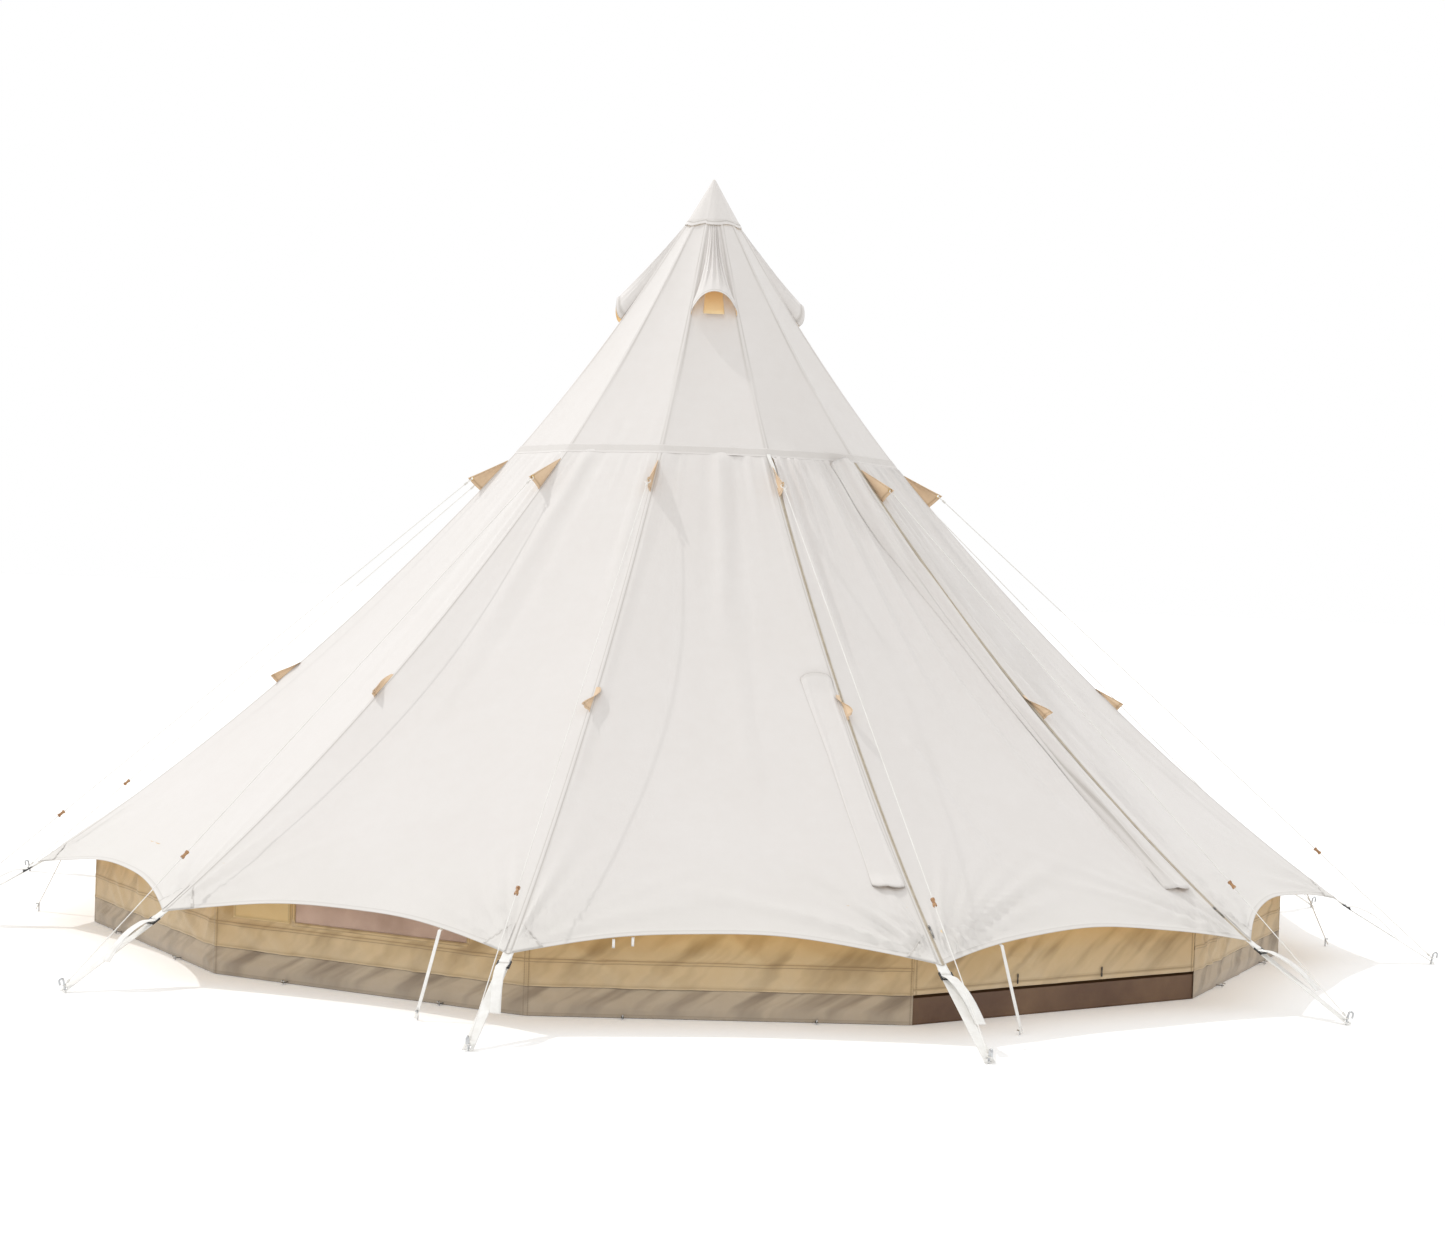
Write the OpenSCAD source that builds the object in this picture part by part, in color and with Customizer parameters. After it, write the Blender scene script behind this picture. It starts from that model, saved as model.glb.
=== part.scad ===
// Bell tent: a concave many-sided canopy on one centre pole, with upright walls,
// a groundsheet, a zipped door, hooded vents, guy lines and pegged eave straps.
// Millimetres, +Z up. The origin is at the centre of the groundsheet's underside,
// and the front panel faces -Y.

/* [Overall] */
// Height of the canopy's point
apex_h = 3500; // [2900:50:4200]
// Radius of the eave at its corners
eave_r = 3000; // [2500:50:3600]
// Height of the eave at its corners
eave_h = 265; // [220:5:320]
// Number of sides
sides = 12; // [12:4:16]

/* [Canopy] */
// Radius of the seam between the steep top and the skirt
seam_r = 920; // [760:10:1110]
// Height of that seam
seam_h = 2160; // [1800:20:2600]
// How far the steep top hollows in
upper_sag = 60; // [30:5:80]
// How far the skirt hollows in
lower_sag = 117; // [80:5:145]
// How far the eave curves in between its corners
scallop = 110; // [70:5:135]
// Thickness of the cloth, seams included
cloth = 3; // [2.5:0.1:3.6]
// Radius of the cap's hem
cap_r = 135; // [110:5:165]

/* [Vents] */
// Radius at which a hood's mouth ends
hood_r = 420; // [350:10:500]
// Width of a hood's mouth
hood_w = 230; // [190:5:276]
// How far a hood's mouth stands off the canopy
hood_lift = 88; // [70:2:105]
// Width of the opening under a hood
vent_w = 84; // [70:2:100]
// Length of the opening under a hood, down the slope
vent_l = 160; // [135:5:192]

/* [Walls] */
// How far the wall stands in from the eave's corners
wall_inset = 250; // [205:5:300]
// Height of the mud skirt at the wall's foot
skirt_h = 110; // [90:5:132]
// Height of the groundsheet's turned-up edge
tub_h = 100; // [80:5:120]
// Thickness of the groundsheet
sheet_t = 1.5; // [1.2:0.1:1.8]
// Width of the window
window_w = 780; // [650:10:936]
// Height of the window
window_h = 150; // [125:5:180]

/* [Door] */
// Width of one half of a zip
zip_w = 6; // [5:0.5:8]
// Width of the storm flaps beside the zips
flap_w = 120; // [100:5:144]

/* [Pole] */
// Radius of the lower tube
pole_r = 19; // [16:0.5:23]
// Wall of both tubes
pole_wall = 2; // [1.6:0.1:2.4]
// Top of the lower tube
pole_split_h = 1760; // [1460:20:2112]
// Radius of the foot
foot_r = 45; // [38:1:54]

/* [Guy lines] */
// Diameter of a guy line
line_d = 4; // [3:0.5:5]
// Distance from the seam to where a top fin begins
fin_gap = 30; // [20:5:60]
// Length of a fin along its ridge
fin_l = 200; // [165:5:240]
// How far a fin's tip stands off its ridge
fin_h = 80; // [66:2:96]
// Radius at which a spare fin begins
spare_r = 1880; // [1570:10:2256]
// How far the corner pegs stand out from the eave
peg_out = 420; // [350:5:504]
// How far up its line a runner sits
runner_at = 700; // [580:10:840]

/* [Straps and pegs] */
// Width of a corner strap
strap_w = 40; // [34:1:48]
// Thickness of the webbing
web = 2; // [1.6:0.1:2.4]
// Diameter of a corner peg
peg_d = 8; // [6.5:0.5:9.5]
// Depth that a corner peg is driven to
peg_depth = 220; // [180:5:264]
// Width of an eave strap
tape_w = 14; // [11:1:17]

/* [Hidden] */

half = 180 / sides;          // half of a side's angle
flat_k = cos(half);          // a side's middle, as a share of its corner radius
lean = tan(half);            // a side's half width, as a share of its middle radius
gap = 0.3;                   // clearance between neighbours
air = 0.5;                   // clearance over cloth
door_side = 1;
window_side = sides - 1;
vent_sides = [for (i = [0:3]) i * sides / 4];
curve_fn = 32;

// The canopy's profile along a ridge: [radius, height], straight between its points.
function hollow(a, b, sag, t) = [a.x + (b.x - a.x) * t, a.y + (b.y - a.y) * t - 4 * sag * t * (1 - t)];
apex = [0, apex_h];
fin_r = seam_r + fin_gap;
seam = [seam_r, seam_h];
corner = [eave_r, eave_h];
vent_t0 = (hood_r - vent_l) / seam_r;    // rows that keep the vent on one flat stretch
vent_t1 = (hood_r + 25) / seam_r;
upper_rows = [for (t = [0, 0.5 * vent_t0, vent_t0, vent_t1, (1 + vent_t1) / 2, 1])
    hollow(apex, seam, upper_sag, t)];
lower_steps = 8;
lower_rows = [for (i = [0:lower_steps]) hollow(seam, corner, lower_sag, i / lower_steps)];
profile = concat(upper_rows, [for (i = [1:lower_steps]) lower_rows[i]]);
function roof(r) = lookup(r, profile);
// Slope of the profile at a radius, and the point that stands off the ridge there
function fall(r) = (roof(r - 1) - roof(r + 1)) / 2;
function off_ridge(r, d) = let (m = fall(r), k = 1 / sqrt(1 + m * m)) [r + d * m * k, roof(r) + d * k];
// The same on a side, whose middle is nearer the pole by flat_k
function off_side(r, v, d) =
    let (m = fall(r) / flat_k, k = 1 / sqrt(1 + m * m), x = r * flat_k + d * m * k)
    [x, v * (x * lean - gap), roof(r) + d * k];

wall_r = eave_r - wall_inset;
wall_x = wall_r * flat_k;                    // outer face of the wall, at a side's middle
wall_fall = fall(wall_r) / flat_k;
wall_h = roof(wall_r) - (cloth + gap) * sqrt(1 + wall_fall * wall_fall); // top of the wall, under the canopy
tub_x = wall_x - cloth - air - gap;          // outer face of the groundsheet's edge
hem_h = tub_h + 12;                          // the door wall's hem, over the groundsheet's edge
window_z = wall_h - 50 - window_h;
window_y = 60;                               // middle of the window, towards the front
hood_top_r = cap_r + 12;
peg_r = peg_d / 2;
line_r = line_d / 2;
peg_place = eave_r + peg_out;
peg_tilt = 12;
eye_r = 5;

module side(j) { rotate([0, 0, 2 * half * j - 90]) children(); }
module ridge(k) { rotate([0, 0, half + 2 * half * k - 90]) children(); }
module ridges() { for (k = [0:sides - 1]) ridge(k) children(); }
// Turns +Z to run from a to b, two [radius, height] points of the XZ plane
module along(a, b) {
    d = b - a;
    translate([a.x, 0, a.y]) rotate([0, atan2(d.x, d.y), 0]) children();
}
// Extrudes an outline drawn in the XZ plane, w wide along Y
module across(w) { rotate([90, 0, 0]) linear_extrude(w, center = true) children(); }

// A closed skin between two grids of points, rows running outwards and columns across
function flatten(m) = [for (row = m) each row];
module skin(outer, inner) {
    rows = len(outer);
    cols = len(outer[0]);
    n = rows * cols;
    polyhedron(
        points = concat(flatten(outer), flatten(inner)),
        faces = concat(
            [for (i = [0:rows - 2], j = [0:cols - 2], s = [0, 1])
                let (a = i * cols + j, c = a + cols) s == 0 ? [a, a + 1, c + 1] : [a, c + 1, c]],
            [for (i = [0:rows - 2], j = [0:cols - 2], s = [0, 1])
                let (a = n + i * cols + j, c = a + cols) s == 0 ? [a, c + 1, a + 1] : [a, c, c + 1]],
            [for (i = [0:rows - 2]) let (a = i * cols, c = a + cols) [a, c, n + c, n + a]],
            [for (i = [0:rows - 2]) let (a = (i + 1) * cols - 1, c = a + cols) [a, n + a, n + c, c]],
            [for (j = [0:cols - 2]) [j, n + j, n + j + 1, j + 1]],
            [for (j = [0:cols - 2]) let (a = n - cols + j) [a, a + 1, n + a + 1, n + a]]));
}

// Cloth of a side that follows the profile's rows, between two shares of its width
module gore(rows, v0, v1, steps, bite) {
    last = len(rows) - 1;
    function at(i, v, d) = off_side(rows[i].x - bite * (1 - v * v) * pow(i / last, 4), v, d);
    function grid(d) = [for (i = [0:last]) [for (s = [0:steps]) at(i, v0 + (v1 - v0) * s / steps, d)]];
    skin(grid(0), grid(-cloth));
}

module canopy_cap() {
    // One pyramid over the tops of the upper sides
    lift = cloth + air;
    m = fall(cap_r / 2);
    k = sqrt(1 + m * m / flat_k / flat_k);
    top = apex_h + (cloth + air) * k;
    hem = [cap_r, top - (apex_h - roof(cap_r))];
    color("linen") rotate([0, 0, half]) difference() {
        cylinder_cone(top, hem);
        translate([0, 0, -cloth * k]) cylinder_cone(top, hem + [2, -2 * m]);
    }
}
module cylinder_cone(top, hem) {
    translate([0, 0, hem.y]) cylinder(h = top - hem.y, r1 = hem.x, r2 = 0, $fn = sides);
}

module vent_cut(grow, t) {
    // A box over the vent's opening, t thick about the cloth's middle
    a = off_side(hood_r - vent_l + 12, 0, -cloth / 2);
    b = off_side(hood_r - 8, 0, -cloth / 2);
    along([a.x, a.z], [b.x, b.z])
        translate([-t / 2, -vent_w / 2 - grow, -grow])
            cube([t, vent_w + 2 * grow, norm(b - a) + 2 * grow]);
}
// The steep top is sewn from two rings of panels: the crown, which has the vents, and the rest
crown_rows = concat([hollow(apex, seam, upper_sag, 0.04)], [for (i = [1:3]) upper_rows[i]]);
crown_edge = upper_rows[3];
module canopy_crown() {
    color("linen") for (j = [0:sides - 1]) side(j) {
        if (len(search(j, vent_sides)) > 0) difference() {
            gore(crown_rows, -1, 1, 2, 0);
            vent_cut(0, 30);
        }
        else gore(crown_rows, -1, 1, 2, 0);
    }
}
module canopy_upper() {
    rows = [crown_edge + gap * [1, -fall(crown_edge.x + 5)], upper_rows[4],
        seam - gap * [1, -fall(seam_r - 5)]];
    color("linen") for (j = [0:sides - 1]) side(j) gore(rows, -1, 1, 2, 0);
}

lower_edge = concat([seam + gap * [1, -fall(seam_r + 5)]], [for (i = [1:lower_steps]) lower_rows[i]]);
module canopy_lower() {
    color("ivory") for (j = [0:sides - 1]) if (j != door_side) side(j) gore(lower_edge, -1, 1, 6, scallop);
}

module seam_band() {
    // A doubled tape on the upper side of the seam
    a = seam_r - 26;
    b = seam_r - 1;
    color("linen") for (j = [0:sides - 1]) side(j)
        skin([for (r = [a, b]) [for (v = [-1, 1]) off_side(r, v, 1.8 + air)]],
             [for (r = [a, b]) [for (v = [-1, 1]) off_side(r, v, air)]]);
}

module ridge_tapes() {
    // Webbing under each ridge, its edges just clear of the two sides
    w = 11;
    rows = concat([for (i = [1:len(upper_rows) - 1]) upper_rows[i]], [for (i = [1:lower_steps - 2]) lower_rows[i]]);
    steepest = max([for (p = rows) fall(p.x)]);
    drop = cloth + w * lean * steepest / sqrt(1 + steepest * steepest) + gap;
    color("tan") ridges()
        skin([for (p = rows) let (q = off_ridge(p.x - 1, -drop)) [for (y = [-w, w]) [q.x, y, q.y]]],
             [for (p = rows) let (q = off_ridge(p.x - 1, -drop - 1.5)) [for (y = [-w, w]) [q.x, y, q.y]]]);
}

// An arched shell on a side. A row is its radius, half width, height, place across and lift
module arch(rows, steps, t) {
    function at(row, i, d) =
        let (a = 180 - 180 * i / steps, p = off_side(row[0], 0, row[4] + (row[2] - d) * sin(a)))
        [p.x, row[3] + (row[1] - d) * cos(a), p.z];
    skin([for (row = rows) [for (i = [0:steps]) at(row, i, 0)]],
         [for (row = rows) [for (i = [0:steps]) at(row, i, t)]]);
}

module vent_hoods() {
    steps = 7;
    rows = [for (i = [0:steps]) let (s = i / steps, r = hood_top_r + (hood_r - hood_top_r) * s)
        [r, min(hood_w / 2 * (0.22 + 0.78 * s), r * flat_k * lean - 6), 8 + (hood_lift - 8) * pow(s, 1.3), 0, air]];
    color("linen") for (j = vent_sides) side(j) arch(rows, 10, cloth);
}

module vent_meshes() {
    color("tan") for (j = vent_sides) side(j) vent_cut(-gap, 1.6);
}

module vent_flap(n) {
    a = off_side(hood_r - vent_l, 0, -cloth - air);
    b = off_side(hood_r + 6, 0, -cloth - air);
    color("wheat") side(vent_sides[n - 1]) along([a.x, a.z], [b.x, b.z])
        translate([0, -vent_w / 2 - 8, 0]) cube([1.8, vent_w + 16, norm(b - a)]);
}

// A triangular fin that stands on a ridge from radius r, with an eye near its tip
function fin_eye(r, l, h) = off_ridge(r + l * 0.62, h - 16);
module fin(r, l, h, t) {
    span = l * 0.66;
    along_ridge = [for (s = [0:0.125:1]) off_ridge(r + span * s, air)];
    tip = [off_ridge(r + span, h), off_ridge(r + span * 0.88, h + 2)];
    across(t) polygon(concat(along_ridge, tip));
}
module eye_hole(r, l, h, hole) {
    p = fin_eye(r, l, h);
    translate([p.x, 0, p.y]) rotate([90, 0, 0]) cylinder(h = 40, r = hole, center = true, $fn = curve_fn);
}
module top_fins() {
    color("peru") ridges() difference() {
        fin(fin_r, fin_l, fin_h, 2.4);
        eye_hole(fin_r, fin_l, fin_h, eye_r + 1.5);
    }
}
module fin_eyelets() {
    // A flanged brass eyelet through each fin
    p = fin_eye(fin_r, fin_l, fin_h);
    color("gold") ridges() translate([p.x, 0, p.y]) rotate([90, 0, 0]) difference() {
        union() {
            cylinder(h = 4.4, r = eye_r + 1.5 - gap / 2, center = true, $fn = curve_fn);
            for (s = [-1, 1]) translate([0, 0, s * 1.85]) cylinder(h = 0.7, r = eye_r + 4, center = true, $fn = curve_fn);
        }
        cylinder(h = 10, r = eye_r, center = true, $fn = curve_fn);
    }
}
spare_l = fin_l * 0.8;
module spare_fins() {
    color("peru") ridges() fin(spare_r, spare_l, fin_h * 0.75, 2.4);
}

// Storm flaps: arched strips beside a ridge
flap_steps = 8;
module flap_strip(j, s, r0, r1, h) {
    // s is the side's edge that it lies along: -1 left, 1 right
    rows = [for (i = [0:flap_steps]) let (r = r0 + (r1 - r0) * i / flap_steps)
        [r, flap_w / 2, h, s * (r * flat_k * lean - flap_w / 2 - 30), air + 3 * pow(i / flap_steps, 2)]];
    color("ivory") side(j) arch(rows, 6, 2);
}
module storm_flap_left() { flap_strip(0, 1, seam_r + 900, eave_r - 330, 22); }
module storm_flap_right() { flap_strip(door_side, 1, seam_r + 60, eave_r - 260, 14); }

// Strips of a side's cloth next to its ridges, from one distance off the ridge to another
function edge_at(p, w, d, s) = let (q = off_side(p.x, 0, d)) [q.x, s * (q.x * lean - w), q.z];
module edge_strip(from, to, t) {
    for (s = [-1, 1]) {
        order = s > 0 ? [to, from] : [from, to];
        skin([for (p = lower_edge) [for (w = order) edge_at(p, w, 0, s)]],
             [for (p = lower_edge) [for (w = order) edge_at(p, w, -t, s)]]);
    }
}
module zip_tapes() { color("tan") side(door_side) edge_strip(gap + 0.4, gap + 0.4 + zip_w, 2.2); }
door_edge = 2 * zip_w + 3 * gap + 0.8;
module door_zips() { color("tan") side(door_side) edge_strip(zip_w + 2 * gap + 0.6, door_edge - gap / 2, 2.2); }
module zip_sliders() {
    // A slider and its pull on each door zip, near the foot
    r = eave_r - 160;
    p = off_side(r, 0, air);
    q = off_side(r + 30, 0, air);
    color("dimgray") side(door_side) for (s = [-1, 1])
        translate([0, s * (p.x * lean - door_edge), 0]) along([p.x, p.z], [q.x, q.z]) {
            translate([-4, -3, 0]) cube([4, 6, 12]);
            translate([-5.4, -2, 8]) cube([1.4, 4, 34]);
        }
}

module door_panel() {
    // The door's cloth stops short of both ridges, where the zips run
    last = len(lower_edge) - 1;
    steps = 6;
    function at(i, v, d) =
        let (q = off_side(lower_edge[i].x - scallop * (1 - v * v) * pow(i / last, 4), 0, d))
        [q.x, v * (q.x * lean - door_edge - gap), q.z];
    function grid(d) = [for (i = [0:last]) [for (s = [0:steps]) at(i, -1 + 2 * s / steps, d)]];
    color("ivory") side(door_side) skin(grid(0), grid(-cloth));
}

// Straps from the eave's edge to small pegs, at a share v of a side's half width
strap_v = 0.6;
small_r = 3;
function strap_top(v) = off_side(eave_r - scallop * (1 - v * v), 0, -cloth / 2);
strap_run = 130;
module eave_strap(v, end) {
    p = strap_top(v);
    a = [p.x + 2.6, p.z - 2.3];
    b = [p.x + strap_run, 12];
    translate([0, v * (p.x * lean - door_edge), 0]) along(a, b)
        translate([-web / 2, -tape_w / 2, 0]) cube([web, tape_w, norm(b - a) + end]);
}
module small_peg(x, y, r, depth, top, bend) {
    // A plain pin with its head bent outwards, 1, or towards the tent, -1
    translate([x, y, -depth]) cylinder(h = depth + top, r = r, $fn = curve_fn);
    translate([x, y, top]) sphere(r = r, $fn = curve_fn);
    translate([x, y, top]) rotate([0, bend * 90, 0]) cylinder(h = 14, r = r, $fn = curve_fn);
}
function strap_end_v(j) = j < sides / 2 ? -strap_v : strap_v;
odd_sides = [for (j = [1:2:sides - 1]) j];
function strap_peg(v) = let (p = strap_top(v)) [p.x + strap_run, v * (p.x * lean - door_edge)];
module eave_straps() {
    color("white") for (j = odd_sides) if (j != door_side) side(j) difference() {
        eave_strap(strap_end_v(j), 10);
        p = strap_peg(strap_end_v(j));
        translate([p.x, p.y, -5]) cylinder(h = 60, r = small_r + gap, $fn = curve_fn);
    }
}
module eave_pegs() {
    color("silver") for (j = odd_sides) side(j) {
        p = strap_peg(strap_end_v(j));
        free = j == door_side;
        small_peg(p.x - (free ? small_r + web + 0.8 : 0), p.y, small_r, 170, free ? 14 : 34, free ? -1 : 1);
    }
}
module door_strap() { color("white") side(door_side) eave_strap(strap_end_v(door_side), 6); }

// The corner strap's own frame: +Z runs down it, +X faces up and out, Y is its width
strap_from = corner + [4, -7];
strap_to = [peg_place, 13];
strap_len = norm(strap_to - strap_from);
bar_t = 3;
bar_w = 4;
buckle_z = [29, 45, 61];
inner_w = strap_w + 2;
module strap_loop(z, t) {
    // Webbing folded round a buckle's bar
    c = gap + 0.1;
    difference() {
        translate([-t - bar_t / 2 - c, -strap_w / 2, z - t - c])
            cube([2 * t + bar_t + 2 * c, strap_w, bar_w + 2 * t + 2 * c]);
        translate([-bar_t / 2 - c, -strap_w, z - c]) cube([bar_t + 2 * c, 2 * strap_w, bar_w + 2 * c]);
    }
}
module strap_frame() { ridges() along(strap_from, strap_to) mirror([1, 0, 0]) children(); }
module corner_webs() {
    color("white") strap_frame() {
        translate([-web / 2, -strap_w / 2, 0]) cube([web, strap_w, buckle_z[0] - gap - 0.2]);
        strap_loop(buckle_z[0], web);
    }
}
module corner_buckles() {
    color("black") strap_frame() {
        for (z = buckle_z) translate([-bar_t / 2, -inner_w / 2, z]) cube([bar_t, inner_w, bar_w]);
        for (s = [-1, 1]) translate([-bar_t, s * (inner_w / 2 + 2.5) - 2.5, buckle_z[0] - 1])
            cube([2 * bar_t, 5, buckle_z[2] - buckle_z[0] + bar_w + 2]);
    }
}
tail_l = 150;
tail_bulge = 22;
module corner_straps() {
    side_x = bar_t / 2 + gap + 0.1;
    tail = [for (i = [0:12]) let (s = i / 12)
        [side_x + web / 2 - (side_x + web) * s * s + tail_bulge * sin(180 * s), buckle_z[1] + 3 + tail_l * s]];
    color("white") ridges() difference() {
        along(strap_from, strap_to) mirror([1, 0, 0]) {
            strap_loop(buckle_z[1], web);
            translate([-side_x - web, -strap_w / 2, buckle_z[1] + bar_w])
                cube([web, strap_w, strap_len - buckle_z[1] + 16]);
            across(strap_w) polygon(concat([for (p = tail) p + [web / 2, 0]],
                [for (i = [12:-1:0]) tail[i] - [web / 2, 0]]));
        }
        peg_frame() cylinder(h = 300, r = peg_r + gap, center = true, $fn = curve_fn);
    }
}
module peg_frame() { translate([peg_place, 0, 0]) rotate([0, peg_tilt, 0]) children(); }
hook_r = 9;
ring_z = 26;
module corner_pegs() {
    color("silver") ridges() peg_frame() {
        translate([0, 0, -peg_depth]) cylinder(h = peg_depth + 46, r = peg_r, $fn = curve_fn);
        translate([0, 0, -peg_depth - 18]) cylinder(h = 18, r1 = 0.8, r2 = peg_r, $fn = curve_fn);
        translate([hook_r, 0, 46]) rotate([90, 0, 0])
            rotate_extrude(angle = 180, $fn = curve_fn) translate([hook_r, 0]) circle(r = peg_r, $fn = curve_fn);
        translate([2 * hook_r, 0, 32]) cylinder(h = 14, r = peg_r, $fn = curve_fn);
    }
}

// Guy lines run straight from a fin's eye to its corner peg
eye = fin_eye(fin_r, fin_l, fin_h);
loop_r = 12;
ring_r = peg_r + line_r + gap;
peg_dir = [sin(peg_tilt), cos(peg_tilt)];
line_end = [peg_place, 0] + ring_z * peg_dir;
line_dir = (line_end - eye) / norm(line_end - eye);
line_top = eye + (eye_r - line_r - gap) * line_dir;
line_len = norm(line_end - line_top) - ring_r;
module guy_lines() {
    color("white") ridges() {
        along(line_top, line_end) {
            translate([0, 0, 2 * loop_r]) cylinder(h = line_len - 2 * loop_r, r = line_r, $fn = 16);
            translate([0, 0, loop_r]) rotate([0, 90, 0]) ring(loop_r);
        }
        peg_frame() translate([0, 0, ring_z]) ring(ring_r);
    }
}
module ring(r) { rotate_extrude($fn = curve_fn) translate([r, 0]) circle(r = line_r, $fn = 16); }
module guy_runner(n) {
    // A drilled slider on its line, waisted for the fingers
    color("saddlebrown") if (n <= sides) ridge(n - 1) along(line_top, line_end)
        translate([0, 0, line_len - runner_at]) difference() {
            union() {
                for (z = [0, 26]) translate([0, 0, z]) cylinder(h = 8, r = line_r + 6, $fn = curve_fn);
                translate([0, 0, 8]) cylinder(h = 18, r = line_r + 4, $fn = curve_fn);
            }
            translate([0, 0, -1]) cylinder(h = 40, r = line_r + gap, $fn = curve_fn);
        }
}

// A flat piece of a wall on a side: x is its outer face at the side's middle
module wall_piece(x, t, z0, z1) {
    edge = (x - t) * lean - gap;
    translate([0, 0, z0]) linear_extrude(z1 - z0)
        polygon([[x, -x * lean + gap], [x, x * lean - gap], [x - t, edge], [x - t, -edge]]);
}
module window_box(grow, t) {
    translate([wall_x - cloth / 2 - t / 2, window_y - window_w / 2 - grow, window_z - grow])
        cube([t, window_w + 2 * grow, window_h + 2 * grow]);
}
module wall_panels() {
    color("goldenrod") for (j = [0:sides - 1]) if (j != door_side) side(j) difference() {
        wall_piece(wall_x, cloth, skirt_h, wall_h);
        if (j == window_side) window_box(0, 40);
    }
}
module wall_skirt() {
    color("tan") for (j = [0:sides - 1]) if (j != door_side) side(j)
        wall_piece(wall_x, cloth, 0, skirt_h - gap);
}
module window_mesh() { color("thistle") side(window_side) window_box(-gap, 1.6); }
module window_pocket() {
    // A lighter patch beside the window, on the outside
    y1 = window_y - window_w / 2 - 24;
    color("darkkhaki") side(window_side) translate([wall_x + gap, y1 - 270, window_z - 8])
        cube([1.5, 270, window_h + 16]);
}
cover_x = wall_x - cloth - gap - 0.2;
module window_cover() {
    color("goldenrod") side(window_side)
        translate([cover_x - 2, window_y - window_w / 2 - 20, window_z - 18])
            cube([2, window_w + 40, window_h + 36]);
}
module window_toggles() {
    // Two toggles that hold the cover's foot
    color("saddlebrown") side(window_side) for (s = [-1, 1])
        translate([cover_x - 2 - 4 - gap, window_y + s * 0.36 * window_w, window_z - 12])
            cylinder(h = 44, r = 4, $fn = curve_fn);
}
loop_v = 0.5;
loop_l = 34;
pin_r = 2.5;
module wall_loops() {
    color("black") for (j = [0:sides - 1], s = [-1, 1]) if (j != door_side) side(j) difference() {
        translate([wall_x + gap, s * loop_v * wall_x * lean - 5, 6]) cube([loop_l, 10, 1.8]);
        translate([wall_x + loop_l - 8, s * loop_v * wall_x * lean, 0]) cylinder(h = 20, r = pin_r + gap, $fn = curve_fn);
    }
}
module wall_pegs() {
    color("silver") for (j = [0:sides - 1], s = [-1, 1]) if (j != door_side) side(j)
        small_peg(wall_x + loop_l - 8, s * loop_v * wall_x * lean, pin_r, 150, 16, 1);
}
module wall_door() {
    w = (wall_x - cloth) * lean - gap;
    color("goldenrod") side(door_side) translate([wall_x - cloth, -w, hem_h])
        cube([cloth, 2 * w, wall_h - hem_h]);
}
module wall_door_toggles() {
    color("black") side(door_side) for (s = [-1, 1])
        translate([wall_x + 3 + gap, s * 0.3 * wall_x * lean, hem_h + 10]) cylinder(h = 40, r = 3, $fn = curve_fn);
}

module many_sided(x, h) {
    // An upright prism whose sides' middles lie at x
    rotate([0, 0, -90 + half]) linear_extrude(h)
        polygon([for (k = [0:sides - 1]) x / flat_k * [cos(2 * half * k), sin(2 * half * k)]]);
}
module groundsheet() { color("saddlebrown") many_sided(tub_x, sheet_t); }
module groundsheet_tub() {
    color("saddlebrown") translate([0, 0, sheet_t]) difference() {
        many_sided(tub_x, tub_h - sheet_t);
        translate([0, 0, -1]) many_sided(tub_x - sheet_t, tub_h + 2);
    }
}

// Centre pole: the upper tube runs down inside the lower one
upper_tube_r = pole_r - pole_wall - 0.5;
tip_z = apex_h - 3 * upper_tube_r - 24;
overlap = 260;
foot_z = sheet_t + gap;
collar_r = pole_r + 8;
screw_z = pole_split_h + 14;
module tube(r, z0, z1) {
    translate([0, 0, z0]) difference() {
        cylinder(h = z1 - z0, r = r, $fn = 64);
        translate([0, 0, -1]) cylinder(h = z1 - z0 + 2, r = r - pole_wall, $fn = 64);
    }
}
module pole_upper_tube() { color("silver") tube(upper_tube_r, pole_split_h - overlap, tip_z); }
module pole_tip() {
    // A plug with a cone that carries the cap's inside
    m = fall(cap_r / 2) / flat_k;
    k = sqrt(1 + m * m);
    top = apex_h + (air - gap - 0.1) * k;
    color("dimgray") {
        translate([0, 0, tip_z - 50]) cylinder(h = 50.2, r = upper_tube_r - pole_wall - 0.05, $fn = 64);
        translate([0, 0, tip_z + 0.1]) cylinder(h = 8, r = upper_tube_r, $fn = 64);
        translate([0, 0, tip_z + 8]) intersection() {
            cylinder(h = top - tip_z - 8, r = upper_tube_r, $fn = 64);
            cylinder(h = top - tip_z - 8, r1 = (top - tip_z - 8) / m, r2 = 0, $fn = 64);
        }
    }
}
module pole_lower_tube() { color("silver") tube(pole_r, foot_z + 8.2, pole_split_h); }
module pole_foot() {
    color("dimgray") {
        translate([0, 0, foot_z]) cylinder(h = 8, r = foot_r, $fn = 64);
        translate([0, 0, foot_z + 8]) cylinder(h = 50, r = pole_r - pole_wall - 0.05, $fn = 64);
    }
}
module pole_collar() {
    color("dimgray") difference() {
        translate([0, 0, pole_split_h - 36]) cylinder(h = 64, r = collar_r, $fn = 64);
        translate([0, 0, pole_split_h - 40]) cylinder(h = 40 + gap, r = pole_r + 0.05, $fn = 64);
        translate([0, 0, pole_split_h - 1]) cylinder(h = 40, r = upper_tube_r + 0.5, $fn = 64);
        translate([0, 0, screw_z]) rotate([0, 90, 0]) cylinder(h = collar_r + 5, r = 3.05, $fn = curve_fn);
    }
}
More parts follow.
